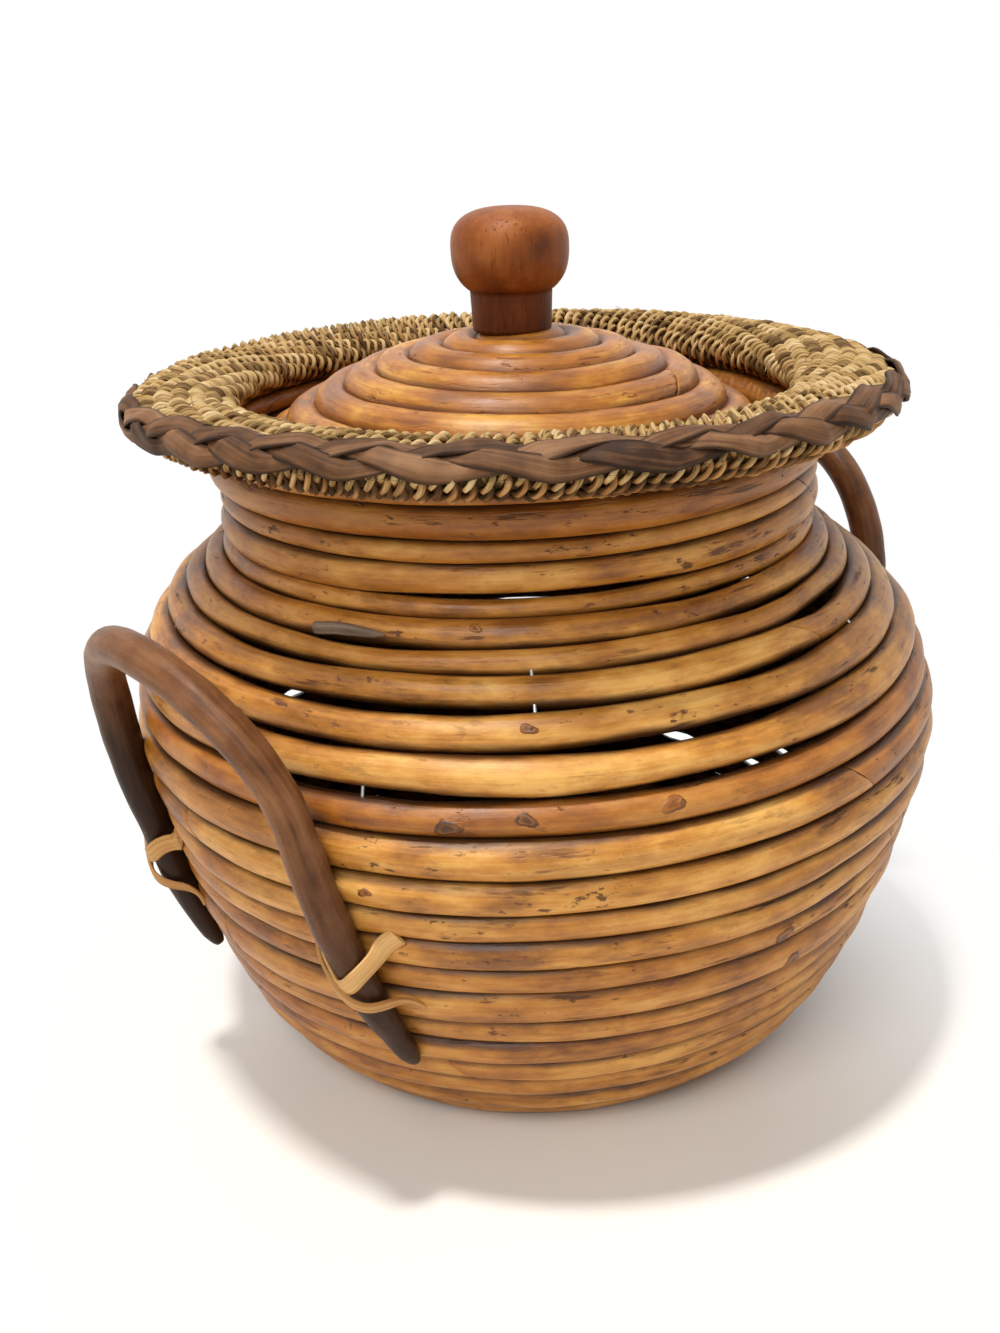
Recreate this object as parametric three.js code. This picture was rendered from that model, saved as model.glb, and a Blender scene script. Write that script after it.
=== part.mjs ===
// Lidded reed basket: a round jar wound from bent rods, with a wrapped rim, a domed lid and two handles.
// Millimetres, +Z up. The origin is on the floor under the middle of the base, the handles lie on -X and +X.
import * as THREE from 'three';

// Rods and the gaps between them
const ROD = 8.6;
const ROD_DEPTH = 9;
const LID_ROD = 9;
const LID_ROD_DEPTH = 8.6;
const COURSE_GAP = 0.5;
const BUTT_GAP = 0.4;
const SEAT_GAP = 0.3;
const LID_CLEARANCE = 0.8;

// The jar, measured to the middle of its rods
const BASE_EYE = 8;
const BASE_RADIUS = 75.5;
const BELLY_RADIUS = 114;
const BELLY_HEIGHT = 96.5;
const NECK_RADIUS = 80;
const SHOULDER_RISE = 57;
const MOUTH_RADIUS = 84.5;
const NECK_RISE = 28.5;

// How far each end of a wall curve keeps its direction, as a share of that stretch
const FOOT_FLATNESS = 0.32;
const BELLY_UPRIGHT_BELOW = 0.36;
const BELLY_UPRIGHT_ABOVE = 0.67;
const NECK_UPRIGHT = 0.13;

// How many rods are spliced end to end in each coil, and where the first one starts
const BASE_RODS = 3;
const WALL_RODS = 15;
const LID_RODS = 3;
const COIL_START = THREE.MathUtils.degToRad(-90);
const PARED_TURN = 0.8;

// The lid's dome, its knob and the screw that holds the knob
const DOME_RADIUS = 105;
const LID_EYE = 9;
const LID_SINK = 10;
const SEAT_HOOP = 8;
const KNOB_RADIUS = 16.2;
const KNOB_HEIGHT = 22;
const KNOB_FULLNESS = 2.6;
const STEM_RADIUS = 10.8;
const STEM_HEIGHT = 10;
const SCREW_RADIUS = 2;
const SCREW_BITE = 18;
const SCREW_HEAD_RADIUS = 4.2;
const SCREW_HEAD_HEIGHT = 2.6;
const SCREW_CROWN_RADIUS = 3;
const SCREW_CROWN_HEIGHT = 1.6;
const WASHER_RADIUS = 9;
const WASHER_THICKNESS = 1.5;
const BORE_CLEARANCE = 0.3;

// The rim: a flat core ring wrapped with cord, and a braid along its outer edge
const ROLL_OVERHANG = 6.9;
const ROLL_HALF_WIDTH = 14.8;
const ROLL_HALF_HEIGHT = 7.5;
const ROLL_TILT = THREE.MathUtils.degToRad(4);
const CORD = 4;
const ROLL_SEAM = THREE.MathUtils.degToRad(8);
const BRAID_THICKNESS = 2.2;
const BRAID_SPREAD = THREE.MathUtils.degToRad(38);
const BRAID_LIFT = THREE.MathUtils.degToRad(12);

// The handles, bent from one rod each, and the cane strips that lash them on
const HANDLE = 11;
const HANDLE_TIP = 7;
const HANDLE_TIP_LENGTH = 22;
const HANDLE_FOOT = 32;
const HANDLE_SPRING = 108;
const LEFT_HANDLE_TOP = 143;
const RIGHT_HANDLE_TOP = 155;
const HANDLE_SPAN = 92;
const HANDLE_SPLAY = 8;
const HANDLE_LEAN = 16;
const LASH_HEIGHT = 66;
const LASH_WIDTH = 5;
const LASH_THICKNESS = 1.2;
const LASH_RISE = 9;

// Facets
const COIL_STEPS = 19;
const HOOP_SIDES = 8;
const KNOB_STEPS = 24;
const RING_STEPS = 36;
const LEG_STEPS = 9;
const ARCH_STEPS = 14;
const LASH_STEPS = 8;
const HANDLE_SIDES = 8;
const KNOB_POINTS = 11;
const ROLL_POINTS = 12;
const CORE_POINTS = 8;
const BRAID_POINTS = 5;
const HALVING_STOP = 1e-6;

const basket = new THREE.Group();

function material(color, roughness, metalness = 0) {
  return new THREE.MeshStandardMaterial({ color, roughness, metalness });
}

const REED = material(0xbe8241, 0.45);
const LID_REED = material(0xc88c5a, 0.42);
const CORD_STRAW = material(0xc8aa6e, 0.85);
const CORE_STRAW = material(0xa58a58, 0.9);
const BRAID_BARK = material(0x6e5a50, 0.75);
const KNOB_WOOD = material(0x8c502d, 0.5);
const HANDLE_BARK = material(0x735041, 0.6);
const CANE = material(0xc8965f, 0.55);
const STEEL = material(0x8c8c8c, 0.4, 1);

function add(name, geometry, look) {
  const mesh = new THREE.Mesh(geometry, look);
  mesh.name = name;
  basket.add(mesh);
}

// Joins a row of like sections into one closed tube, with its faces pointing out
function sweep(sections) {
  const sides = sections[0].length;
  const positions = sections.flat().flatMap((p) => [p.x, p.y, p.z]);
  const faces = [];
  for (let k = 0; k + 1 < sections.length; k++) {
    for (let i = 0; i < sides; i++) {
      const a = k * sides + i;
      const b = k * sides + ((i + 1) % sides);
      faces.push([a, b, b + sides], [a, b + sides, a + sides]);
    }
  }
  const last = (sections.length - 1) * sides;
  for (let i = 1; i + 1 < sides; i++) {
    faces.push([0, i + 1, i], [last, last + i, last + i + 1]);
  }
  const corner = (index) => new THREE.Vector3().fromArray(positions, 3 * index);
  const volume = faces.reduce((sum, [a, b, c]) => sum + corner(a).dot(corner(b).cross(corner(c))), 0);
  const index = faces.flatMap(([a, b, c]) => (volume > 0 ? [a, b, c] : [a, c, b]));
  const geometry = new THREE.BufferGeometry();
  geometry.setAttribute('position', new THREE.Float32BufferAttribute(positions, 3));
  geometry.setIndex(index);
  geometry.computeVertexNormals();
  return geometry;
}

// Turns an outline of radius and height points about the Z axis
function turn(outline, steps = RING_STEPS) {
  const geometry = new THREE.LatheGeometry(outline, steps);
  return geometry.rotateX(Math.PI / 2);
}

function closed(outline) {
  return [...outline, outline[0].clone()];
}

// Point, direction and outward normal of a coil's path at a distance along it
function pathFrame(path, distance) {
  const length = path.getLength();
  const reach = COURSE_GAP / 2;
  const share = (d) => THREE.MathUtils.clamp(d / length, 0, 1);
  const ahead = path.getPoint(share(distance + reach));
  const behind = path.getPoint(share(distance - reach));
  const along = ahead.sub(behind).normalize();
  const normal = new THREE.Vector2(along.y, -along.x);
  return { point: path.getPoint(share(distance)), along, normal };
}

// One six-sided rod section in the upright plane at an angle about the axis.
// Its ridges face the courses on either side, and nothing reaches below the floor.
function rodSection(frame, angle, halfHeight, halfDepth) {
  const shape = [
    [0, 1],
    [-1, 0.5],
    [-1, -0.5],
    [0, -1],
    [1, -0.5],
    [1, 0.5],
  ];
  return shape.map(([out, up]) => {
    const p = frame.point.clone();
    p.addScaledVector(frame.normal, out * halfDepth).addScaledVector(frame.along, up * halfHeight);
    return new THREE.Vector3(p.x * Math.cos(angle), p.x * Math.sin(angle), Math.max(0, p.y));
  });
}

// Winds a rod along a path, one course a turn.
// The last course is pared to a long wedge, so the coil ends level.
function wind(path, rod, depth) {
  const pitch = rod + COURSE_GAP;
  const pareFrom = path.getLength() / pitch - 0.5;
  const stations = Math.floor((pareFrom + PARED_TURN) * COIL_STEPS);
  const sections = [];
  for (let k = 0; k <= stations; k++) {
    const turns = k / COIL_STEPS;
    const pared = Math.max(0, turns - pareFrom);
    const frame = pathFrame(path, pitch * (turns - pared / 2));
    const height = pitch * (1 - pared) - COURSE_GAP;
    const thinned = depth * (1 - pared / 2);
    sections.push(rodSection(frame, COIL_START + 2 * Math.PI * turns, height / 2, thinned / 2));
  }
  return sections;
}

function middle(section) {
  return section.reduce((sum, p) => sum.add(p), new THREE.Vector3()).divideScalar(section.length);
}

function blend(from, to, share) {
  return from.map((p, i) => p.clone().lerp(to[i], share));
}

// Cuts a run of sections into rods of like length that butt end to end
function cutRods(sections, count) {
  const lengths = [0];
  for (let k = 1; k < sections.length; k++) {
    lengths.push(lengths[k - 1] + middle(sections[k]).distanceTo(middle(sections[k - 1])));
  }
  const total = lengths[lengths.length - 1];
  const cuts = [];
  for (let i = 0; i <= count; i++) {
    cuts.push(lengths.findIndex((d) => d >= (total * i) / count - 1e-6));
  }
  const trim = (end, next) => blend(end, next, BUTT_GAP / 2 / middle(end).distanceTo(middle(next)));
  return cuts.slice(0, count).map((first, i) => {
    const run = sections.slice(first, cuts[i + 1] + 1);
    const rod = [...run];
    rod[0] = trim(run[0], run[1]);
    rod[rod.length - 1] = trim(run[run.length - 1], run[run.length - 2]);
    return rod;
  });
}

// Least gap between neighbouring courses, from the corners of each section to the edges one turn on
function leastGap(sections) {
  let least = Infinity;
  const edge = new THREE.Line3();
  const nearest = new THREE.Vector3();
  for (let k = 0; k + COIL_STEPS < sections.length; k++) {
    const upper = sections[k + COIL_STEPS];
    for (const p of sections[k]) {
      upper.forEach((q, i) => {
        edge.set(q, upper[(i + 1) % upper.length]).closestPointToPoint(p, true, nearest);
        least = Math.min(least, nearest.distanceTo(p));
      });
    }
  }
  return least;
}

function at(radius, height) {
  return new THREE.Vector2(radius, height);
}

// The jar's path: flat base, lower wall up to the belly,
// shoulder in to the neck, and a slight flare to the mouth
const NECK_HEIGHT = BELLY_HEIGHT + SHOULDER_RISE;
const MOUTH_HEIGHT = NECK_HEIGHT + NECK_RISE;
const FLOOR_LINE = ROD_DEPTH / 2;
const jarPath = new THREE.CurvePath();
const baseLine = new THREE.LineCurve(at(BASE_EYE, FLOOR_LINE), at(BASE_RADIUS, FLOOR_LINE));
const lowerWall = new THREE.CubicBezierCurve(
  at(BASE_RADIUS, FLOOR_LINE),
  at(THREE.MathUtils.lerp(BASE_RADIUS, BELLY_RADIUS, FOOT_FLATNESS), FLOOR_LINE),
  at(BELLY_RADIUS, THREE.MathUtils.lerp(BELLY_HEIGHT, FLOOR_LINE, BELLY_UPRIGHT_BELOW)),
  at(BELLY_RADIUS, BELLY_HEIGHT)
);
const shoulder = new THREE.CubicBezierCurve(
  at(BELLY_RADIUS, BELLY_HEIGHT),
  at(BELLY_RADIUS, BELLY_HEIGHT + BELLY_UPRIGHT_ABOVE * SHOULDER_RISE),
  at(NECK_RADIUS, NECK_HEIGHT - NECK_UPRIGHT * SHOULDER_RISE),
  at(NECK_RADIUS, NECK_HEIGHT)
);
const neck = new THREE.QuadraticBezierCurve(
  at(NECK_RADIUS, NECK_HEIGHT),
  at(NECK_RADIUS, NECK_HEIGHT + NECK_RISE / 2),
  at(MOUTH_RADIUS, MOUTH_HEIGHT)
);
for (const curve of [baseLine, lowerWall, shoulder, neck]) {
  jarPath.add(curve);
}

const jarCoil = wind(jarPath, ROD, ROD_DEPTH);
const baseEnd = Math.round((baseLine.getLength() / (ROD + COURSE_GAP)) * COIL_STEPS);
cutRods(jarCoil.slice(0, baseEnd + 1), BASE_RODS).forEach((rod, i) => {
  add(`base_rod_${i + 1}`, sweep(rod), REED);
});
cutRods(jarCoil.slice(baseEnd), WALL_RODS).forEach((rod, i) => {
  add(`wall_rod_${String(i + 1).padStart(2, '0')}`, sweep(rod), REED);
});
console.log(`jar courses: least gap ${leastGap(jarCoil).toFixed(2)} mm`);

// The lid is a shallow dome wound the same way. It drops into the neck and rests on a hoop fixed inside it.
const NECK_BORE = NECK_RADIUS - ROD_DEPTH / 2;
const LID_RADIUS = NECK_BORE - LID_CLEARANCE - LID_ROD_DEPTH / 4;
const LID_EDGE_HEIGHT = MOUTH_HEIGHT - LID_SINK;
const domeDrop = Math.sqrt(DOME_RADIUS ** 2 - LID_RADIUS ** 2);
const lidPath = new THREE.EllipseCurve(
  0,
  LID_EDGE_HEIGHT - domeDrop,
  DOME_RADIUS,
  DOME_RADIUS,
  Math.acos(LID_EYE / DOME_RADIUS),
  Math.acos(LID_RADIUS / DOME_RADIUS),
  true
);
const lidCoil = wind(lidPath, LID_ROD, LID_ROD_DEPTH);
cutRods(lidCoil, LID_RODS).forEach((rod, i) => add(`lid_rod_${i + 1}`, sweep(rod), LID_REED));
console.log(`lid courses: least gap ${leastGap(lidCoil).toFixed(2)} mm`);

// Lowest or highest lid point within a radius, where the knob, washer and hoop meet the lid
function lidReach(inner, outer, pick) {
  const heights = lidCoil.flat().filter((p) => {
    const radius = Math.hypot(p.x, p.y);
    return radius >= inner && radius <= outer;
  });
  return pick(...heights.map((p) => p.z));
}

const hoopLevel = LID_EDGE_HEIGHT - LID_ROD_DEPTH / 2 - SEAT_HOOP / 2;
const hoopSeat = neck.getPoint((hoopLevel - NECK_HEIGHT) / NECK_RISE).x - ROD_DEPTH / 2;
const hoopMiddle = hoopSeat - SEAT_GAP - SEAT_HOOP / 2;
const hoopTop = lidReach(hoopMiddle - SEAT_HOOP / 2, LID_RADIUS, Math.min) - SEAT_GAP;
const hoopOutline = Array.from({ length: HOOP_SIDES }, (_, i) => {
  const angle = (2 * Math.PI * (i + 0.5)) / HOOP_SIDES;
  const side = SEAT_HOOP / 2;
  return at(hoopMiddle + side * Math.cos(angle), hoopTop - side + side * Math.sin(angle));
});
add('lid_seat_hoop', turn(closed(hoopOutline), COIL_STEPS), REED);

// The knob is turned from one piece, with a pilot bore for the screw that comes up through the eye of the lid
const stemBase = lidReach(0, STEM_RADIUS + LID_ROD / 2, Math.max) + SEAT_GAP;
const headBase = stemBase + STEM_HEIGHT;
const boreRadius = SCREW_RADIUS + BORE_CLEARANCE;
const boreTop = stemBase + SCREW_BITE + BORE_CLEARANCE;
const knobOutline = [
  at(0, boreTop),
  at(boreRadius, boreTop),
  at(boreRadius, stemBase),
  at(STEM_RADIUS, stemBase),
];
const headLow = -((1 - (STEM_RADIUS / KNOB_RADIUS) ** KNOB_FULLNESS) ** (1 / KNOB_FULLNESS));
for (let i = 0; i <= KNOB_POINTS; i++) {
  const level = THREE.MathUtils.lerp(headLow, 1, i / KNOB_POINTS);
  const width = (1 - Math.abs(level) ** KNOB_FULLNESS) ** (1 / KNOB_FULLNESS);
  const height = headBase + (KNOB_HEIGHT * (level - headLow)) / (1 - headLow);
  knobOutline.push(at(KNOB_RADIUS * width, height));
}
add('knob', turn(knobOutline, KNOB_STEPS), KNOB_WOOD);

const washerTop = lidReach(0, WASHER_RADIUS + LID_ROD / 2, Math.min) - SEAT_GAP;
const washerBase = washerTop - WASHER_THICKNESS;
const washerOutline = [
  at(boreRadius, washerBase),
  at(WASHER_RADIUS, washerBase),
  at(WASHER_RADIUS, washerTop),
  at(boreRadius, washerTop),
];
add('knob_washer', turn(closed(washerOutline), KNOB_STEPS), STEEL);
const screwSeat = washerBase - SEAT_GAP;
const screwOutline = [
  at(0, screwSeat - SCREW_HEAD_HEIGHT),
  at(SCREW_CROWN_RADIUS, screwSeat - SCREW_HEAD_HEIGHT),
  at(SCREW_HEAD_RADIUS, screwSeat - SCREW_HEAD_HEIGHT + SCREW_CROWN_HEIGHT),
  at(SCREW_HEAD_RADIUS, screwSeat),
  at(SCREW_RADIUS, screwSeat),
  at(SCREW_RADIUS, stemBase + SCREW_BITE - 2 * SCREW_RADIUS),
  at(0, stemBase + SCREW_BITE),
];
add('knob_screw', turn(screwOutline, KNOB_STEPS), STEEL);

// The rim roll is a tilted ellipse in section, standing on the mouth and reaching outwards.
// seatAngle is where on the ellipse the top of the last course meets its underside.
const rollReach = Math.hypot(ROLL_HALF_WIDTH * Math.cos(ROLL_TILT), ROLL_HALF_HEIGHT * Math.sin(ROLL_TILT));
const rollSkew = Math.atan2(ROLL_HALF_HEIGHT * Math.sin(ROLL_TILT), ROLL_HALF_WIDTH * Math.cos(ROLL_TILT));
const seatAngle = -Math.acos(-ROLL_OVERHANG / rollReach) - rollSkew;
const seatDrop = at(ROLL_HALF_WIDTH * Math.cos(seatAngle), ROLL_HALF_HEIGHT * Math.sin(seatAngle));
seatDrop.rotateAround(at(0, 0), ROLL_TILT);
const mouthTop = MOUTH_HEIGHT - COURSE_GAP / 2;
const rollMiddle = at(MOUTH_RADIUS + ROLL_OVERHANG, mouthTop + SEAT_GAP - seatDrop.y);

function rollPoint(angle, grow) {
  const p = at((ROLL_HALF_WIDTH + grow) * Math.cos(angle), (ROLL_HALF_HEIGHT + grow) * Math.sin(angle));
  return p.rotateAround(at(0, 0), ROLL_TILT).add(rollMiddle);
}

function rollArc(from, to, grow, steps) {
  return Array.from({ length: steps + 1 }, (_, i) => {
    return rollPoint(THREE.MathUtils.lerp(from, to, i / steps), grow);
  });
}

const seamFrom = -Math.PI / 2 + ROLL_SEAM / 2;
const seamTo = seamFrom + 2 * Math.PI - ROLL_SEAM;
const wrapOutline = [
  ...rollArc(seamFrom, seamTo, 0, ROLL_POINTS),
  ...rollArc(seamTo, seamFrom, -CORD, ROLL_POINTS),
];
add('rim_cord_roll', turn(closed(wrapOutline)), CORD_STRAW);
const coreOutline = rollArc(0, 2 * Math.PI, -CORD - SEAT_GAP, CORE_POINTS);
add('rim_core', turn(coreOutline), CORE_STRAW);
const braidFrom = BRAID_LIFT - BRAID_SPREAD;
const braidTo = BRAID_LIFT + BRAID_SPREAD;
const braidOutline = [
  ...rollArc(braidFrom, braidTo, SEAT_GAP + BRAID_THICKNESS, BRAID_POINTS),
  ...rollArc(braidTo, braidFrom, SEAT_GAP, BRAID_POINTS),
];
add('rim_braid', turn(closed(braidOutline)), BRAID_BARK);

// Radius at which a piece lies a given distance off the middle of the wall rods, at a height.
// Above the belly the piece goes straight up.
function besideWall(height, distance) {
  const low = baseLine.getLength();
  const high = low + lowerWall.getLength();
  const point = (d) => {
    const frame = pathFrame(jarPath, d);
    return frame.point.addScaledVector(frame.normal, distance);
  };
  if (height >= point(high).y) {
    return BELLY_RADIUS + distance;
  }
  let [below, above] = [low, high];
  while (above - below > HALVING_STOP) {
    const half = (below + above) / 2;
    [below, above] = point(half).y < height ? [half, above] : [below, half];
  }
  return point(below).x;
}

// A handle's middle line: a leg up the wall, an arch over, and a leg down again.
// The whole handle leans a little sideways, as it was bent by hand.
const handleReach = BELLY_RADIUS + ROD_DEPTH / 2 + SEAT_GAP + HANDLE / 2;

function handleRadius(height) {
  const taper = THREE.MathUtils.clamp((height - HANDLE_FOOT) / HANDLE_TIP_LENGTH, 0, 1);
  return THREE.MathUtils.lerp(HANDLE_TIP, HANDLE, taper) / 2;
}

function handlePoint(handle, sideways, height) {
  const share = (height - HANDLE_FOOT) / (handle.top - HANDLE_FOOT);
  const angle = handle.facing + (sideways + HANDLE_LEAN * (0.5 - share)) / handleReach;
  const radius = besideWall(height, ROD_DEPTH / 2 + SEAT_GAP + handleRadius(height));
  return new THREE.Vector3(radius * Math.cos(angle), radius * Math.sin(angle), height);
}

function legPoint(handle, leg, height) {
  const share = (HANDLE_SPRING - height) / (HANDLE_SPRING - HANDLE_FOOT);
  return handlePoint(handle, leg * (HANDLE_SPAN / 2 + HANDLE_SPLAY * share), height);
}

function handleLine(handle) {
  const up = Array.from({ length: LEG_STEPS }, (_, i) => {
    return legPoint(handle, -1, THREE.MathUtils.lerp(HANDLE_FOOT, HANDLE_SPRING, i / LEG_STEPS));
  });
  const arch = Array.from({ length: ARCH_STEPS + 1 }, (_, i) => {
    const swing = (Math.PI * i) / ARCH_STEPS;
    const rise = (handle.top - HANDLE_SPRING) * Math.sin(swing);
    return handlePoint(handle, (-HANDLE_SPAN / 2) * Math.cos(swing), HANDLE_SPRING + rise);
  });
  const down = Array.from({ length: LEG_STEPS }, (_, i) => {
    return legPoint(handle, 1, THREE.MathUtils.lerp(HANDLE_SPRING, HANDLE_FOOT, (i + 1) / LEG_STEPS));
  });
  return [...up, ...arch, ...down];
}

function outwards(point) {
  return new THREE.Vector3(point.x, point.y, 0).normalize();
}

// Direction along a line of points, and two directions square to it,
// the first as near as can be to the one given
function lineFrame(line, k, lift) {
  const along = line[Math.min(k + 1, line.length - 1)].clone().sub(line[Math.max(k - 1, 0)]).normalize();
  const across = new THREE.Vector3().crossVectors(along, lift).normalize();
  const out = new THREE.Vector3().crossVectors(across, along);
  return { along, out, across };
}

function addHandle(handle) {
  const line = handleLine(handle);
  const sections = line.map((point, k) => {
    const { out, across } = lineFrame(line, k, outwards(point));
    const radius = handleRadius(point.z);
    return Array.from({ length: HANDLE_SIDES }, (_, i) => {
      const angle = (2 * Math.PI * i) / HANDLE_SIDES;
      const corner = point.clone().addScaledVector(out, radius * Math.cos(angle));
      return corner.addScaledVector(across, radius * Math.sin(angle));
    });
  });
  add(`handle_${handle.side}`, sweep(sections), HANDLE_BARK);
}

// A cane strip over one leg of a handle, slanting up or down, with both ends carried in to the wall
function addLashing(name, handle, leg, slant, layer) {
  const height = LASH_HEIGHT;
  const centre = legPoint(handle, leg, height);
  const nearby = [legPoint(handle, leg, height - 1), centre, legPoint(handle, leg, height + 1)];
  const { along, out, across } = lineFrame(nearby, 1, outwards(centre));
  const reach = HANDLE / 2 + SEAT_GAP + LASH_THICKNESS / 2 + layer * (LASH_THICKNESS + SEAT_GAP);
  const place = (swing, sink) => {
    const shift = (slant * LASH_RISE * swing) / Math.PI;
    const point = centre.clone().addScaledVector(along, shift);
    point.addScaledVector(out, reach * Math.cos(swing) - sink);
    return point.addScaledVector(across, reach * Math.sin(swing));
  };
  const line = [place(-Math.PI / 2, HANDLE / 2)];
  const lifts = [across.clone().negate()];
  for (let i = 0; i <= LASH_STEPS; i++) {
    const swing = Math.PI * (i / LASH_STEPS - 0.5);
    line.push(place(swing, 0));
    lifts.push(out.clone().multiplyScalar(Math.cos(swing)).addScaledVector(across, Math.sin(swing)));
  }
  line.push(place(Math.PI / 2, HANDLE / 2));
  lifts.push(across.clone());
  const sections = line.map((point, k) => {
    const frame = lineFrame(line, k, lifts[k]);
    const corners = [
      [1, 1],
      [1, -1],
      [-1, -1],
      [-1, 1],
    ];
    return corners.map(([thick, wide]) => {
      const corner = point.clone().addScaledVector(frame.out, (thick * LASH_THICKNESS) / 2);
      return corner.addScaledVector(frame.across, (wide * LASH_WIDTH) / 2);
    });
  });
  add(name, sweep(sections), CANE);
}

const handles = [
  { side: 'left', facing: Math.PI, top: LEFT_HANDLE_TOP },
  { side: 'right', facing: 0, top: RIGHT_HANDLE_TOP },
];
for (const handle of handles) {
  addHandle(handle);
  for (const [end, leg] of [['near', 1], ['far', -1]]) {
    addLashing(`lashing_${handle.side}_${end}_under`, handle, leg, 1, 0);
    addLashing(`lashing_${handle.side}_${end}_over`, handle, leg, -1, 1);
  }
}

export default basket;
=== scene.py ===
import math
import random
from collections import namedtuple

import bpy
import numpy as np
from mathutils import Matrix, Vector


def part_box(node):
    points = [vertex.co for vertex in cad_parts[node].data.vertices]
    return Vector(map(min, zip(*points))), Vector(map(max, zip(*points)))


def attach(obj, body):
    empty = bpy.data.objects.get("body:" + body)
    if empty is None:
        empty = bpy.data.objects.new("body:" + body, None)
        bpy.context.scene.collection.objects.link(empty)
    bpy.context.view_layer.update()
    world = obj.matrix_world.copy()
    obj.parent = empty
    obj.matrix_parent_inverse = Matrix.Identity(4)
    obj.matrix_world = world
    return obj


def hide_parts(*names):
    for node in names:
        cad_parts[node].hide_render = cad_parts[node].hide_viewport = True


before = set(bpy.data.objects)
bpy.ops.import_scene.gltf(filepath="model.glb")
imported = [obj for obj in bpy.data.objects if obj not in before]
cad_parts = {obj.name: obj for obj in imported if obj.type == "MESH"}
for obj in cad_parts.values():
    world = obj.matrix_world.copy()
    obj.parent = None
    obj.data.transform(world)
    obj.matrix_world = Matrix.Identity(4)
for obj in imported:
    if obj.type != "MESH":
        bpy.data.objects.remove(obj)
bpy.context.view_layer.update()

scene = bpy.context.scene
MM = 0.001
TAU = 2 * math.pi

# The coil's path and rods, in metres, as in the solids
ROD = 8.6 * MM
ROD_DEPTH = 9 * MM
LID_ROD = 9 * MM
LID_ROD_DEPTH = 8.6 * MM
COURSE_GAP = 0.5 * MM
SEAT_GAP = 0.3 * MM
LID_CLEARANCE = 0.8 * MM
BASE_EYE = 8 * MM
BASE_RADIUS = 75.5 * MM
BELLY_RADIUS = 114 * MM
BELLY_HEIGHT = 96.5 * MM
NECK_RADIUS = 80 * MM
SHOULDER_RISE = 57 * MM
MOUTH_RADIUS = 84.5 * MM
NECK_RISE = 28.5 * MM
FOOT_FLATNESS = 0.32
BELLY_UPRIGHT_BELOW = 0.36
BELLY_UPRIGHT_ABOVE = 0.67
NECK_UPRIGHT = 0.13
BASE_RODS = 3
WALL_RODS = 15
LID_RODS = 3
COIL_START = math.radians(-90)
COIL_STEPS = 19
PARED_TURN = 0.8
DOME_RADIUS = 105 * MM
LID_EYE = 9 * MM
LID_SINK = 10 * MM

# The eye of the lid closes further than in the solids, and the last rods run out to nothing
LID_EYE_CLOSED = 2.7 * MM
RUN_OUT = 0.02

# Heights of the courses up the front of the wall, from the edge of the base to the mouth
FRONT_COURSES = [10.1, 10.1, 10.1, 9.05, 9.05, 8.6, 11.9, 8.3, 9.2, 8.4, 9.3, 10.2, 8.9, 10.3, 9.8, 8.7,
                 6.8, 8.2, 6.5, 9.4, 5.6, 9.9]
EVEN_COURSES = 7
FRONT_TURN = 0.375
FRONT_AZIMUTH = 225

# Places where a course stands off the next one: edge number, azimuth, half width in degrees, opening in mm.
# The first rows are on the front, the next are small openings behind that show light through the front ones,
# and the last are on the back, with azimuths counted on past 360
LOOSE_PLACES = [
    (26, 226, 26, 1.8), (25, 258, 11, 1.1), (24, 200, 10, 1.2), (23, 186, 11, 1.2), (23, 280, 8, 2.2),
    (22, 204, 23, 1.8), (21, 246, 16, 2.1), (21, 193, 8, 1.2), (20, 203, 15, 2.0), (20, 250, 16, 1.6),
    (16, 270, 7, 1.4), (15, 268, 6, 1.2), (22, 262, 10, 1.2), (24, 268, 9, 1.1),
    (11, 371, 4, 2.6), (11, 351, 4, 2.4), (12, 344.5, 4, 2.2), (15, 96.5, 4, 2.4), (18, 359.5, 4, 2.2),
    (16, 405, 9, 3.0),
    (26, 400, 22, 1.7), (25, 365, 12, 1.3), (25, 440, 10, 1.2), (24, 415, 14, 1.5), (23, 385, 20, 1.8),
    (22, 425, 16, 1.6), (22, 345, 9, 1.3), (21, 395, 14, 1.5), (20, 440, 12, 1.6), (20, 362, 10, 1.2),
]
LOOSE_FLATNESS = 1.35
TIGHT_GAP = -0.25 * MM
LID_TIGHT_GAP = -0.9 * MM

# Wound rods: their mesh, slanted ends, uneven thickness and place on the wall, painted shade on the neck and a darker
# left side
STATION = 4 * MM
ROD_SIDES = 16
ROD_FULLNESS = 2.06
SCARF = 11 * MM
SCARF_GAP = 0.025
SCARF_STEPS = 8
SCARF_LIMIT = 0.96
FLUSH_END = 25 * MM
ROD_SWELL = 0.02
SWELL_WAVE = 0.03
SLOW_SWELL_WAVE = 0.11
MOST_SWOLLEN = 1.03
WANDER = 0.35 * MM
WANDER_WAVE = 0.13
STANDS_OFF = 0.4
WALL_BLEND = 20 * MM
LOWEST_EDGE = 0.2 * MM
LEAST_DEPTH = 2 * MM
# The neck's rods darken between these heights: painted shade under the rim
NECK_SHADE_LEVELS = [140 * MM, 160 * MM]
NECK_SHADE = [0, 0.3]
# The rods of the wall's left side are darker about this azimuth, over this spread
SIDE_DARKENING = 0.5
SIDE_DARKENING_AZIMUTH = 170
SIDE_DARKENING_SPREAD = 28

# Hand-made unevenness of the whole: a lean of the upper part and a dent in the belly
LEAN = 2.2 * MM
LEAN_DIRECTION = (-math.sqrt(0.5), math.sqrt(0.5))
LEAN_FROM = 105 * MM
LEAN_TO = 160 * MM
DENT = 4 * MM
DENT_AZIMUTH = 152
DENT_SPREAD = 27
DENT_HEIGHT = 72 * MM
DENT_RISE = 36 * MM


# Rows of numbers

def mix(a, b, share):
    return a + (b - a) * share


def stacked(*columns):
    """Columns of numbers, stretched to one shape and set side by side."""
    return np.stack(np.broadcast_arrays(*columns), -1)


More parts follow.
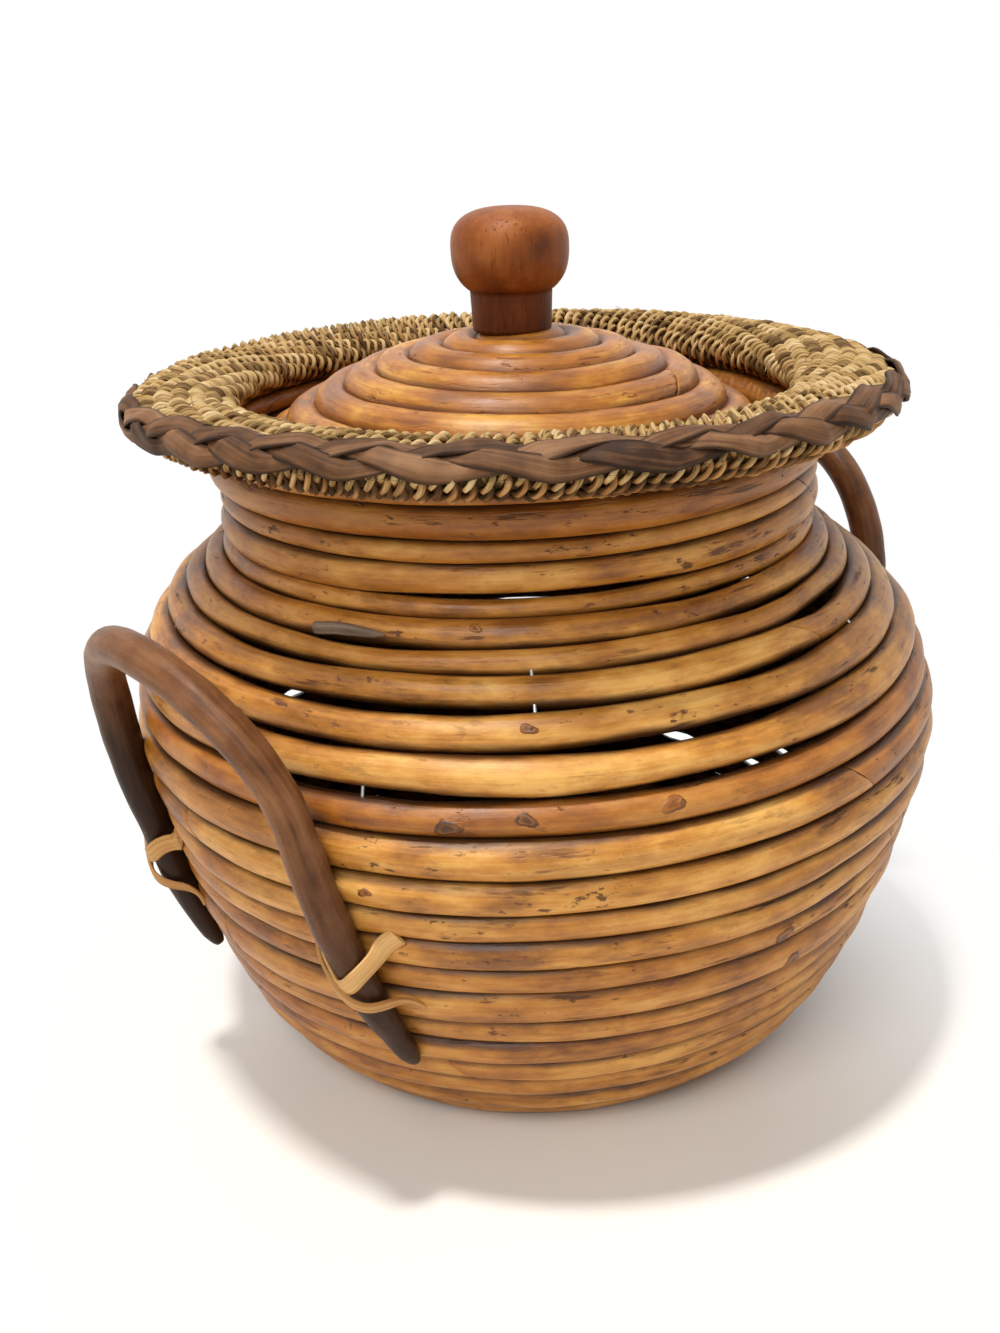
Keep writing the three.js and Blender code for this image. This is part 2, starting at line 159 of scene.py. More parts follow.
def unit(rows):
    return rows / np.linalg.norm(rows, axis=-1, keepdims=True)


def distances(line):
    """How far along a line each of its points lies."""
    return np.concatenate([[0], np.cumsum(np.linalg.norm(np.diff(line, axis=0), axis=1))])


def read_rows(wanted, places, rows):
    """Rows of numbers at the wanted places, between the places where they are known."""
    return np.stack([np.interp(wanted, places, column) for column in rows.T], -1)


def full_circle(count):
    return TAU * np.arange(count) / count


def power(values, exponent):
    """A power that keeps the sign."""
    return np.sign(values) * np.abs(values) ** exponent


def bell(off, half):
    return np.exp(-(off / half) ** 2)


def smooth(value, low, high):
    """A smooth step from 0 to 1 between two values."""
    share = np.clip((value - low) / (high - low), 0, 1)
    return share * share * (3 - 2 * share)


def degrees_from(azimuth, angles):
    return (np.degrees(angles) - azimuth + 180) % 360 - 180


def ripple(x, wave, seed, parts=5):
    """A smooth random wobble of about -1 to 1 along x, in waves of about the given length."""
    draw = random.Random(seed)
    total = np.zeros_like(x)
    for _ in range(parts):
        stretch = wave * draw.uniform(0.6, 1.8)
        total += np.sin(TAU * x / stretch + draw.uniform(0, TAU))
    return total / math.sqrt(parts)


# The curves of the jar and the lid

def bezier(*points, count=160):
    """Points along a Bezier curve through its first and last control points."""
    share = np.linspace(0, 1, count)[:, None]
    level = [np.array(p, float)[None, :] for p in points]
    while len(level) > 1:
        level = [a * (1 - share) + b * share for a, b in zip(level, level[1:])]
    return level[0]


def right_of(along):
    return stacked(along[..., 1], -along[..., 0])


class Path:
    """A curve of radius and height, read by the distance along it."""

    REACH = 0.6 * MM

    def __init__(self, *curves):
        self.points = np.concatenate([curves[0]] + [curve[1:] for curve in curves[1:]])
        self.places = distances(self.points)
        self.length = self.places[-1]

    def point(self, distance):
        return read_rows(np.clip(distance, 0, self.length), self.places, self.points)

    def frame(self, distance):
        """Point, direction along and outward normal."""
        along = unit(self.point(distance + self.REACH) - self.point(distance - self.REACH))
        return self.point(distance), along, right_of(along)


NECK_HEIGHT = BELLY_HEIGHT + SHOULDER_RISE
MOUTH_HEIGHT = NECK_HEIGHT + NECK_RISE
FLOOR_LINE = ROD_DEPTH / 2
foot, belly = (BASE_RADIUS, FLOOR_LINE), (BELLY_RADIUS, BELLY_HEIGHT)
throat, mouth = (NECK_RADIUS, NECK_HEIGHT), (MOUTH_RADIUS, MOUTH_HEIGHT)
base_line = bezier((BASE_EYE, FLOOR_LINE), foot)
lower_wall = bezier(foot, (mix(BASE_RADIUS, BELLY_RADIUS, FOOT_FLATNESS), FLOOR_LINE),
                    (BELLY_RADIUS, mix(BELLY_HEIGHT, FLOOR_LINE, BELLY_UPRIGHT_BELOW)), belly)
shoulder = bezier(belly, (BELLY_RADIUS, BELLY_HEIGHT + BELLY_UPRIGHT_ABOVE * SHOULDER_RISE),
                  (NECK_RADIUS, NECK_HEIGHT - NECK_UPRIGHT * SHOULDER_RISE), throat)
neck = bezier(throat, (NECK_RADIUS, NECK_HEIGHT + NECK_RISE / 2), mouth)
jar_path = Path(base_line, lower_wall, shoulder, neck)
base_length = BASE_RADIUS - BASE_EYE
belly_distance = Path(base_line, lower_wall).length

LID_RADIUS = NECK_RADIUS - ROD_DEPTH / 2 - LID_CLEARANCE - LID_ROD_DEPTH / 4
LID_EDGE_HEIGHT = MOUTH_HEIGHT - LID_SINK
dome_centre = LID_EDGE_HEIGHT - math.sqrt(DOME_RADIUS ** 2 - LID_RADIUS ** 2)


def dome(eye, count):
    """The lid's curve from the radius of its eye to its edge."""
    angles = np.linspace(math.acos(eye / DOME_RADIUS), math.acos(LID_RADIUS / DOME_RADIUS), count)
    return Path(stacked(DOME_RADIUS * np.cos(angles), dome_centre + DOME_RADIUS * np.sin(angles)))


lid_path = dome(LID_EYE, 200)
lid_full = dome(LID_EYE_CLOSED, 240)


# Meshes from rows of rings

def settle(points):
    """The neck, rim and lid stand a little to one side, and one side of the belly is flat."""
    x, y, height = points.T
    lean = LEAN * smooth(height, LEAN_FROM, LEAN_TO)
    off = degrees_from(DENT_AZIMUTH, np.arctan2(y, x))
    dent = DENT * bell(off, DENT_SPREAD) * bell(height - DENT_HEIGHT, DENT_RISE)
    inward = 1 - dent / np.maximum(np.hypot(x, y), BASE_RADIUS)
    return stacked(x * inward + lean * LEAN_DIRECTION[0], y * inward + lean * LEAN_DIRECTION[1], height)


def spin(points, angles):
    """Radius and height points, turned to their angles about the axis."""
    radius, height = points[..., 0], points[..., 1]
    return stacked(radius * np.cos(angles), radius * np.sin(angles), height)


class Skin:
    """A closed surface over a row of like rings; loop joins the last ring to the first. Its values are where each
    point lies if the strand is straightened, how dark its groove is, and its tone."""

    def __init__(self, rings, straight, groove=0.0, tone=0.5, loop=False):
        count, sides, _ = rings.shape
        index = np.arange(count * sides).reshape(count, sides)
        here = index if loop else index[:-1]
        ahead = np.roll(index, -1, axis=0) if loop else index[1:]
        self.quads = np.stack([here, np.roll(here, -1, 1), np.roll(ahead, -1, 1), ahead], -1).reshape(-1, 4)
        self.points = rings.reshape(-1, 3)
        self.caps = [] if loop else [index[0, ::-1], index[-1]]
        a, b, c, d = (self.points[self.quads[:, i]] for i in range(4))
        volume = np.sum(np.cross(a, b) * c) + np.sum(np.cross(a, c) * d)
        if volume < 0:
            self.quads = self.quads[:, ::-1]
            self.caps = [cap[::-1] for cap in self.caps]
        self.values = {key: np.broadcast_to(value, (count, sides) + np.shape(value)[2:]).reshape(count * sides, -1)
                       for key, value in (("straight", straight), ("groove", groove), ("tone", tone))}


def rings_along(line, first, a, second, b):
    """A ring at each point of a line, reaching a along the first direction and b along the second."""
    return line[:, None] + first[:, None] * a[..., None] + second[:, None] * b[..., None]


def strand(line, first, a, second, b, run, **values):
    """A skin over such rings, straightened by the distance run along the line."""
    return Skin(rings_along(line, first, a, second, b), stacked(run[:, None], a, b), **values)


def line_frames(line, lifts):
    """Directions along a line, out of it towards the lifts, and across."""
    along = unit(np.gradient(line, axis=0))
    across = unit(np.cross(along, lifts))
    return along, np.cross(across, along), across


STRAND_LIFT = np.array([0.31, 0.22, 0.93])


def tube(line, radii, sides, offset=0.0, tone=0.5):
    """A round strand along a line of points, tapering with its radii."""
    _, out, across = line_frames(line, STRAND_LIFT)
    radii = np.broadcast_to(radii, len(line))[:, None]
    a, b = radii * np.cos(full_circle(sides)), radii * np.sin(full_circle(sides))
    return strand(line, out, a, across, b, distances(line) + offset, tone=tone)


def add_object(name, data):
    thing = bpy.data.objects.new(name, data)
    scene.collection.objects.link(thing)
    return thing


def make_piece(name, skins, look, body, slot, *nodes):
    """One mesh object from its skins, riding on a body in place of its nodes."""
    starts = np.cumsum([0] + [len(s.points) for s in skins])
    faces = np.concatenate([s.quads + start for s, start in zip(skins, starts)]).tolist()
    smooth_count = len(faces)
    for skin, start in zip(skins, starts):
        faces += [(cap + start).tolist() for cap in skin.caps]
    mesh = bpy.data.meshes.new(name)
    mesh.from_pydata(settle(np.concatenate([s.points for s in skins])), [], faces)
    mesh.polygons.foreach_set("use_smooth", [i < smooth_count for i in range(len(faces))])
    for key in skins[0].values:
        row = np.concatenate([s.values[key] for s in skins]).astype(np.float32)
        kind, field = ("FLOAT_VECTOR", "vector") if row.shape[1] == 3 else ("FLOAT", "value")
        mesh.attributes.new(key, kind, "POINT").data.foreach_set(field, row.ravel())
    mesh.materials.append(look)
    piece = add_object(name, mesh)
    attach(piece, body)
    if nodes:
        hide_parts(*nodes)


# Materials

class Nodes:
    """The nodes of a material or of the world. An input takes a value or the output of another node."""

    def __init__(self, owner):
        owner.use_nodes = True
        self.tree = owner.node_tree
        self.place = None

    def fill(self, node, inputs):
        for key, value in inputs.items():
            if isinstance(value, bpy.types.NodeSocket):
                self.tree.links.new(value, node.inputs[key])
            else:
                node.inputs[key].default_value = value

    def put(self, kind, inputs, **settings):
        node = self.tree.nodes.new(f"ShaderNode{kind}")
        for key, value in settings.items():
            setattr(node, key, value)
        self.fill(node, inputs)
        return node

    def read(self, name, output="Fac"):
        return self.put("Attribute", {}, attribute_name=name).outputs[output]

    def calc(self, operation, *values, clamp=False):
        return self.put("Math", dict(enumerate(values)), operation=operation, use_clamp=clamp).outputs[0]

    def weigh(self, *terms, plus=0.0):
        """A sum of outputs, each with its weight."""
        total = plus
        for value, weight in terms:
            total = self.calc("MULTIPLY_ADD", value, weight, total)
        return total

    def noise(self, scale, detail=4, roughness=0.55, distortion=0.0):
        """Noise at the look's place, in cycles a metre along and across, or on each axis."""
        scale = (*scale, scale[-1])[:3]
        place = self.put("VectorMath", {0: self.place, 1: scale}, operation="MULTIPLY").outputs[0]
        return self.put("TexNoise", {"Vector": place, "Scale": 1.0, "Detail": detail, "Roughness": roughness,
                                     "Distortion": distortion}).outputs["Fac"]

    def steps(self, value, low, high):
        """A smooth step from 0 to 1 between two values."""
        limits = {"Value": value, "From Min": low, "From Max": high}
        return self.put("MapRange", limits, interpolation_type="SMOOTHSTEP").outputs[0]

    def tint(self, color, other, factor, weight=1.0, mode="MIX"):
        """Brings in another colour, as far as the factor times its weight."""
        if weight != 1:
            factor = self.calc("MULTIPLY", factor, weight)
        node = self.put("Mix", {0: factor, 6: color, 7: (*other, 1.0)}, data_type="RGBA", blend_type=mode)
        return node.outputs[2]

    def ramp(self, value, *stops):
        node = self.put("ValToRGB", {"Fac": value})
        while len(node.color_ramp.elements) < len(stops):
            node.color_ramp.elements.new(1.0)
        for element, (place, color) in zip(node.color_ramp.elements, stops):
            element.position = place
            element.color = (*color, 1.0)
        return node.outputs[0]

    def bump(self, height, distance):
        return self.put("Bump", {"Height": height, "Distance": distance, "Strength": 1.0}).outputs[0]

    def shade(self, inputs):
        self.fill(self.tree.nodes["Principled BSDF"], inputs)

    def blend(self, factor, first, second, end):
        """Blends two shaders into the tree's end."""
        both = self.put("MixShader", {0: factor, 1: first.outputs[0], 2: second.outputs[0]})
        self.fill(self.tree.nodes[end], {"Surface": both.outputs[0]})


def new_look(name):
    """A material and its nodes, whose noise follows the run of each rod or strand."""
    look = bpy.data.materials.new(name)
    nodes = Nodes(look)
    nodes.place = nodes.read("straight", "Vector")
    return look, nodes


def scaled(color, by):
    return tuple(by * c for c in color)


def reed_look(name, dark, middle, pale, groove_color, tone_color, coat, speckle):
    """Peeled rod under satin varnish: lengthwise streaks, smears, dark dashes, and stain and painted shade in the
    grooves.
    """
    look, nodes = new_look(name)
    noise, steps, tint, weigh = nodes.noise, nodes.steps, nodes.tint, nodes.weigh
    streak = noise((30, 900), 6, 0.6)
    blotch = noise((55, 130), 5, 0.6)
    cloud = noise((10, 40), 3)
    grain = weigh((streak, 0.18), (blotch, 0.52), (cloud, 0.3))
    color = nodes.ramp(grain, (0.39, dark), (0.5, middle), (0.61, pale))
    # Darker by the tone, which holds each rod's own tone and the painted shade on the neck
    color = tint(color, tone_color, nodes.read("tone"), 0.9, "MULTIPLY")
    smear = steps(noise((70, 190), 5, 0.65), 0.55, 0.7)
    color = tint(color, scaled(dark, 0.66), smear, 0.45)
    weather = steps(noise((22, 80), 5, 0.62), 0.52, 0.68)
    color = tint(color, dark, weather, 0.42)
    patches = steps(noise((11, 60), 3), 0.42, 0.62)
    speck = steps(noise((190, 400), 3, 0.65), 0.62, 0.73)
    fleck = steps(noise((60, 400), 4, 0.6), 0.6, 0.73)
    marks = nodes.calc("MULTIPLY", nodes.calc("MAXIMUM", speck, fleck), weigh((patches, 1.0), plus=0.35), clamp=True)
    color = tint(color, scaled(groove_color, 1.8), marks, speckle)
    # Darker towards the top and bottom of each rod, where it meets the next course: painted shade, made uneven by a
    # stain-like noise
    darkness = noise((36, 150), 4)
    groove = weigh((nodes.read("groove"), 1.0), (darkness, 0.7), plus=-0.35)
    color = tint(color, groove_color, steps(groove, 0.6, 0.98), 0.94)
    relief = weigh((streak, 0.4), (blotch, 1.0), (marks, -0.5))
    nodes.shade({"Base Color": color, "Roughness": weigh((blotch, 0.3), (marks, 0.2), plus=0.27),
                 "Coat Weight": coat, "Coat Roughness": 0.35, "Specular IOR Level": 0.42,
                 "Normal": nodes.bump(relief, 0.5 * MM)})
    return look


def fibre_look(name, dark, middle, pale, scale, roughness, spread, mottling, relief=0.25 * MM, speck_color=None,
               painted_shade_color=None):
    """Dry plant fibre: lengthwise streaks, with tone from piece to piece."""
    look, nodes = new_look(name)
    along, across = scale
    streak = nodes.noise((along, across), 5, 0.6)
    cloud = nodes.noise((along * 0.6, across * 0.08), 3)
    mottle = nodes.noise((110, 150), 4, 0.6)
    grain = nodes.weigh((streak, 0.55), (cloud, 0.45), (nodes.read("tone"), spread), (mottle, mottling),
                        plus=-(spread + mottling) / 2)
    color = nodes.ramp(grain, (0.34, dark), (0.5, middle), (0.68, pale))
    if speck_color:
        color = nodes.tint(color, speck_color, nodes.steps(nodes.noise((260, 420), 2), 0.74, 0.78))
    groove = nodes.read("groove")
    # Multiplied in: painted shade between the cord's plies and under the roll
    if painted_shade_color:
        color = nodes.tint(color, painted_shade_color, nodes.steps(groove, 0.1, 0.75), mode="MULTIPLY")
    # Darker where the groove value is high: painted shade between the cord's plies, under the roll and at the braid's
    # strip edges; on the handles, darker low down and painted shade along the far legs
    color = nodes.tint(color, scaled(dark, 0.3), nodes.steps(groove, 0.6, 1.0), 0.8)
    nodes.shade({"Base Color": color, "Roughness": nodes.weigh((streak, 0.2), plus=roughness - 0.1),
                 "Specular IOR Level": 0.2,
                 "Normal": nodes.bump(nodes.weigh((streak, 1.0), (mottle, 1.0)), relief)})
    return look


def knob_look():
    """Turned hardwood, stained red-brown, darker on the stem and with painted shade under the ball."""
    look, nodes = new_look("knob_wood_look")
    growth = nodes.noise((260, 260, 24), 5, 0.6, 0.4)
    pores = nodes.steps(nodes.noise((1500, 1500, 110), 3), 0.6, 0.72)
    cloud = nodes.noise((75, 75, 65), 5, 0.6)
    scuffs = nodes.steps(nodes.noise((300, 300, 300), 3), 0.66, 0.72)
    color = nodes.ramp(nodes.weigh((growth, 0.3), (cloud, 0.7)), (0.34, (0.14, 0.034, 0.005)),
                       (0.5, (0.275, 0.074, 0.012)), (0.66, (0.41, 0.135, 0.03)))
    color = nodes.tint(color, (0.06, 0.018, 0.008), pores, 0.2)
    color = nodes.tint(color, (0.05, 0.02, 0.012), scuffs, 0.6)
    # Darker by the groove value: on the stem, and painted shade on the underside of the ball
    color = nodes.tint(color, (0.42, 0.33, 0.24), nodes.read("groove"), 0.9, "MULTIPLY")
    nodes.shade({"Base Color": color, "Roughness": nodes.weigh((cloud, 0.3), plus=0.3), "Specular IOR Level": 0.22,
                 "Normal": nodes.bump(nodes.weigh((growth, 1.0), (pores, -1.0)), 0.2 * MM)})
    return look


def steel_look():
    look, nodes = new_look("steel_look")
    brushed = nodes.noise((40, 2500), 3)
    nodes.shade({"Base Color": nodes.ramp(brushed, (0.3, (0.36, 0.36, 0.35)), (0.7, (0.55, 0.55, 0.53))),
                 "Metallic": 1.0,
                 "Roughness": nodes.weigh((nodes.steps(brushed, 0.2, 0.8), 0.22), plus=0.28)})
    return look


REED = reed_look(
    "reed_look", (0.25, 0.085, 0.011), (0.58, 0.245, 0.037), (0.81, 0.44, 0.11),
    groove_color=(0.05, 0.015, 0.003), tone_color=(0.63, 0.48, 0.3), coat=0.1, speckle=0.9)
LID_REED = reed_look(
    "lid_reed_look", (0.24, 0.074, 0.008), (0.49, 0.18, 0.016), (0.8, 0.43, 0.08),
    groove_color=(0.12, 0.034, 0.007), tone_color=(0.78, 0.64, 0.48), coat=0.18, speckle=0.7)
CORD = fibre_look(
    "seagrass_cord_look", (0.12, 0.06, 0.018), (0.52, 0.33, 0.125), (0.72, 0.53, 0.28),
    scale=(60, 1600), roughness=0.65, spread=0.2, mottling=0.2, painted_shade_color=(0.83, 0.58, 0.42))
# The straw core is coloured far darker than straw: painted shade in the gaps between the cord's wraps
CORE = fibre_look(
    "straw_core_look", (0.03, 0.015, 0.005), (0.08, 0.045, 0.016), (0.15, 0.09, 0.035),
    scale=(30, 900), roughness=0.85, spread=0.2, mottling=0.1)
BRAID = fibre_look(
    "bark_braid_look", (0.038, 0.016, 0.007), (0.15, 0.067, 0.028), (0.3, 0.155, 0.076),
    scale=(24, 1000), roughness=0.6, spread=0.3, mottling=0.4)
BARK = fibre_look(
    "handle_bark_look", (0.055, 0.021, 0.008), (0.162, 0.061, 0.022), (0.28, 0.124, 0.052),
    scale=(30, 420), roughness=0.4, spread=0.4, mottling=0.4, relief=0.4 * MM, speck_color=(0.36, 0.24, 0.16))
SPLIT = fibre_look(
    "split_wood_look", (0.045, 0.029, 0.019), (0.15, 0.104, 0.07), (0.29, 0.215, 0.155),
    scale=(24, 900), roughness=0.7, spread=0.2, mottling=0.3)
CANE = fibre_look(
    "cane_look", (0.36, 0.16, 0.045), (0.6, 0.32, 0.11), (0.76, 0.48, 0.2),
    scale=(16, 1300), roughness=0.45, spread=0.25, mottling=0.1)
KNOB_WOOD = knob_look()
STEEL = steel_look()


# The coiled jar and lid

Coil = namedtuple("Coil", "path edge gap age depth")
JAR_PITCH = ROD + COURSE_GAP
LID_PITCH = LID_ROD + COURSE_GAP


def front_turn(number, azimuth):
    """Turn number of an edge or a course, counted up the front, at an azimuth."""
    return number + (azimuth - FRONT_AZIMUTH) / 360


# Turn numbers and path distances of the edges between courses: even at first, then as they are up the front
EVEN_TURNS = 1 + EVEN_COURSES + FRONT_TURN
jar_turns = np.cumsum([-1, EVEN_TURNS] + [1] * len(FRONT_COURSES) + [2])
jar_places = np.cumsum([-JAR_PITCH, EVEN_TURNS * JAR_PITCH, *MM * np.array(FRONT_COURSES), 2 * JAR_PITCH])


def jar_edge(turn):
    return np.interp(turn, jar_turns, jar_places)


def jar_gap(turn):
    """Opening between two courses at an edge: pressed tight, but loose in places on the belly."""
    gap = np.full_like(turn, TIGHT_GAP)
    for edge, middle, half, opening in LOOSE_PLACES:
        off = (turn - front_turn(edge + FRONT_TURN, middle)) * 360
        share = np.clip(LOOSE_FLATNESS * bell(off, half), 0, 1)
        gap = np.maximum(gap, mix(TIGHT_GAP, opening * MM, share))
    return gap


def jar_darkening(height, angles):
    """How much darker the rods of the neck and of the left side are; the neck's darkening is painted shade under the
    rim.
    """
    side = bell(degrees_from(SIDE_DARKENING_AZIMUTH, angles), SIDE_DARKENING_SPREAD)
    return np.interp(height, NECK_SHADE_LEVELS, NECK_SHADE) + SIDE_DARKENING * side


def lid_edge(turn):
    return turn * LID_PITCH + lid_full.length - lid_path.length


JAR_COIL = Coil(jar_path, jar_edge, jar_gap, jar_darkening, ROD_DEPTH)
LID_COIL = Coil(lid_full, lid_edge, lambda turn: LID_TIGHT_GAP, lambda height, angles: 0 * height, LID_ROD_DEPTH)


def cut_turns(path, pitch, first, last, count):
    """Turn numbers at which the solids' rods are cut, at equal lengths along their stations."""
    turns = np.arange(first, last + 1) / COIL_STEPS
    pared = np.maximum(0, turns - (path.length / pitch - 0.5))
    lengths = distances(spin(path.point(pitch * (turns - pared / 2)), COIL_START + TAU * turns))
    wanted = lengths[-1] * np.arange(count + 1) / count - 1e-9
    return turns[np.searchsorted(lengths, wanted)]


def wound_rod(seed, coil, start, end, scarf_start, scarf_end):
    """A round rod wound from one turn number to another, its ends cut on a slant where it meets the next rod.
    Its lay says where it runs."""
    draw = random.Random(seed)
    middle_and_ends = np.array([(start + end) / 2, start, end])
    radius, start_radius, end_radius = coil.path.point(coil.edge(middle_and_ends))[:, 0]
    start_span = SCARF / TAU / start_radius if scarf_start else 0
    end_span = SCARF / TAU / end_radius if scarf_end else 0
    begin, finish = start - start_span / 2, end + end_span / 2
    stations = max(8, int((end - start) * TAU * radius / STATION))
    turns = np.linspace(begin + start_span, finish - end_span, stations)
    if scarf_start:
        turns = np.concatenate([np.linspace(begin, turns[0], SCARF_STEPS, endpoint=False), turns])
    if scarf_end:
        turns = np.concatenate([turns, np.linspace(turns[-1], finish, SCARF_STEPS + 1)[1:]])
    angles = COIL_START + TAU * turns

    # Between the edges below and above, with an uneven thickness and a little in or out of the wall
    low = np.maximum(coil.edge(turns - 0.5) + coil.gap(turns - 0.5) / 2, LOWEST_EDGE)
    high = np.minimum(coil.edge(turns + 0.5) - coil.gap(turns + 0.5) / 2, coil.path.length - TIGHT_GAP / 2)
    run = distances(spin(coil.path.point((low + high) / 2), angles))
    near_end = np.minimum(run if scarf_start else FLUSH_END, run[-1] - run if scarf_end else FLUSH_END)
    loose = np.clip(near_end / FLUSH_END, 0, 1)
    swell = 1 + loose * ROD_SWELL * (ripple(run, SWELL_WAVE, f"{seed} swell")
                                     + ripple(run, SLOW_SWELL_WAVE, f"{seed} slow swell"))
    half_height = (high - low) / 2 * np.clip(swell, 1, MOST_SWOLLEN)
    half_depth = (0.5 * coil.depth + 0.5 * (high - low)) / 2 * swell
    point, along, normal = coil.path.frame((low + high) / 2)
    on_slope = loose * np.clip((point[:, 1] - FLOOR_LINE) / WALL_BLEND, 0, 1)
    stands_off = draw.uniform(-STANDS_OFF, STANDS_OFF) * MM
    shift = on_slope * (WANDER * ripple(run, WANDER_WAVE, f"{seed} wander") + stands_off)
    point = point + normal * shift[:, None]
    half_depth = np.minimum(half_depth, np.maximum(point[:, 1], LEAST_DEPTH))

    def cut(spliced, from_end):
        """How much of the section a slanted end leaves, in shares of its half height."""
        if not spliced:
            return np.ones((len(run), 1))
        return np.maximum(2 * np.clip(from_end / SCARF, 0, 1) - 1 - SCARF_GAP, -SCARF_LIMIT)[:, None]

    # The section is cut from below at the start and from above at the end
    circle = full_circle(ROD_SIDES)
    up = np.clip(power(np.sin(circle), 2 / ROD_FULLNESS), -cut(scarf_start, run), cut(scarf_end, run[-1] - run))
    reach = (1 - np.abs(up) ** ROD_FULLNESS) ** (1 / ROD_FULLNESS)
    out = np.clip(power(np.cos(circle), 2 / ROD_FULLNESS), -reach, reach)
    a, b = half_depth[:, None] * out, half_height[:, None] * up
    rings = spin(rings_along(point, normal, a, along, b), angles[:, None])
    rings[..., 2] = np.maximum(rings[..., 2], 0)
    straight = stacked((run + draw.uniform(0, 90))[:, None], a, b)
    # Each rod's own random tone, plus painted shade on the neck and the darker left side
    tone = draw.random() ** 2 + coil.age(point[:, 1], angles)
    lay = {"turns": turns, "point": point, "along": along, "normal": normal, "depth": half_depth}
    # The groove value rises towards the top and bottom of the section, for painted shade where the courses meet
    return Skin(rings, straight, np.abs(np.sin(circle))[None, :], tone[:, None]), lay


def last_station(path, pitch):
    return math.floor((path.length / pitch - 0.5 + PARED_TURN) * COIL_STEPS)


base_end = round(base_length / JAR_PITCH * COIL_STEPS)
base_cuts = cut_turns(jar_path, JAR_PITCH, 0, base_end, BASE_RODS)
wall_cuts = cut_turns(jar_path, JAR_PITCH, base_end, last_station(jar_path, JAR_PITCH), WALL_RODS)
wall_cuts[-1] = np.interp(jar_path.length, jar_places, jar_turns) + 0.5 - RUN_OUT
lid_cuts = cut_turns(lid_path, LID_PITCH, 0, last_station(lid_path, LID_PITCH), LID_RODS)
lid_cuts[0], lid_cuts[-1] = -1.0, lid_path.length / LID_PITCH + 0.5 - RUN_OUT
jar_rods = [(f"base_rod_{i + 1}", *base_cuts[i:i + 2]) for i in range(BASE_RODS)]
jar_rods += [(f"wall_rod_{i + 1:02d}", *wall_cuts[i:i + 2]) for i in range(WALL_RODS)]
jar_lays = []
for i, (node, start, end) in enumerate(jar_rods):
    rod, lay = wound_rod(node, JAR_COIL, start, end, i > 0, i + 1 < len(jar_rods))
    jar_lays.append(lay)
    make_piece(f"{node}_reed", [rod], REED, "basket", "reed", node)
for i in range(LID_RODS):
    rod, _ = wound_rod(f"lid {i}", LID_COIL, *lid_cuts[i:i + 2], i > 0, i + 1 < LID_RODS)
    make_piece(f"lid_rod_{i + 1}_reed", [rod], LID_REED, "lid", "lid_reed", f"lid_rod_{i + 1}")


# Small things on the wall: knots, the brads that pin the courses, and a loose split end

# Width and rise in mm of a knot's rings from its edge to its middle, and how dark each is
KNOT_ROWS = [(1.0, -0.55), (0.94, -0.05), (0.76, 0.12), (0.55, 0.14), (0.35, 0.02), (0.12, 0.04)]
KNOT_STAIN = np.array([0.5, 0.74, 0.82, 0.7, 0.8, 0.86])
KNOT_SIDES = 14
KNOT_LENGTH = 1.35
# Course, azimuth, degrees up from square to the wall, half height in mm, and how dark
FRONT_KNOTS = [(19, 241, 12, 2.3, 1.0), (19, 224, 5, 1.9, 1.18), (19, 215, -18, 2.4, 1.15), (21, 225, 0, 1.5, 0.9),
               (24, 218, 0, 1.3, 1.05), (17, 205, 15, 1.3, 0.95), (14, 258, 0, 2.4, 1.1), (13, 261, -10, 2.6, 1.1)]
OTHER_KNOTS = 12
COURSE_MIDDLE = FRONT_TURN + 0.5
BRAD_RADIUS = 0.45 * MM
BRAD_HALF_LENGTH = 3 * MM
BRAD_SHARE = 0.45
BRAD_COLUMNS = 5
BRAD_EDGES = range(10, 29)
BRAD_AZIMUTH = 226
# Edge, azimuth and depth in mm out from the middle of the rods, of the brads that show
FRONT_BRADS = [(23, 226, 2.1), (22, 226, 1.8), (22, 282, 2.0), (20, 204, 1.0)]
SPLIT_EDGE = 24
SPLIT_AZIMUTHS = (191.0, 204.0)


def on_wall(turn):
    """Place of a turn on the rod that passes there, with directions along the rod, up the wall and out of it."""
    lay = next(row for row in jar_lays if row["turns"][0] <= turn <= row["turns"][-1])
    angle = COIL_START + TAU * turn
    out = np.array([math.cos(angle), math.sin(angle), 0.0])
    ahead = np.array([-math.sin(angle), math.cos(angle), 0.0])
    lift = np.array([0.0, 0.0, 1.0])
    rows = (read_rows(turn, lay["turns"], lay[key]) for key in ("point", "along", "normal"))
    place, up, face = (out * row[0] + lift * row[1] for row in rows)
    return place, ahead, up, face, float(np.interp(turn, lay["turns"], lay["depth"]))


def knot(draw, course, azimuth, tilt, size, darkness):
    place, ahead, up, face, depth = on_wall(front_turn(course + COURSE_MIDDLE, azimuth))
    tilt = math.radians(tilt)
    face, up = face * math.cos(tilt) + up * math.sin(tilt), up * math.cos(tilt) - face * math.sin(tilt)
    circle = full_circle(KNOT_SIDES)
    uneven = 1 + 0.2 * np.sin(2 * circle + draw.uniform(0, TAU)) + 0.15 * np.sin(3 * circle + draw.uniform(0, TAU))
    rings = []
    for width, height in KNOT_ROWS:
        reach = size * MM * width * uneven
        rise = depth - (reach * np.sin(circle)) ** 2 / (2 * depth) + height * MM
        rings.append(place + face * rise[:, None] + ahead * (KNOT_LENGTH * reach * np.cos(circle))[:, None]
                     + up * (reach * np.sin(circle))[:, None])
    rings = np.array(rings)
    return Skin(rings, rings + draw.uniform(0, 9), darkness * KNOT_STAIN[:, None], tone=1.0)


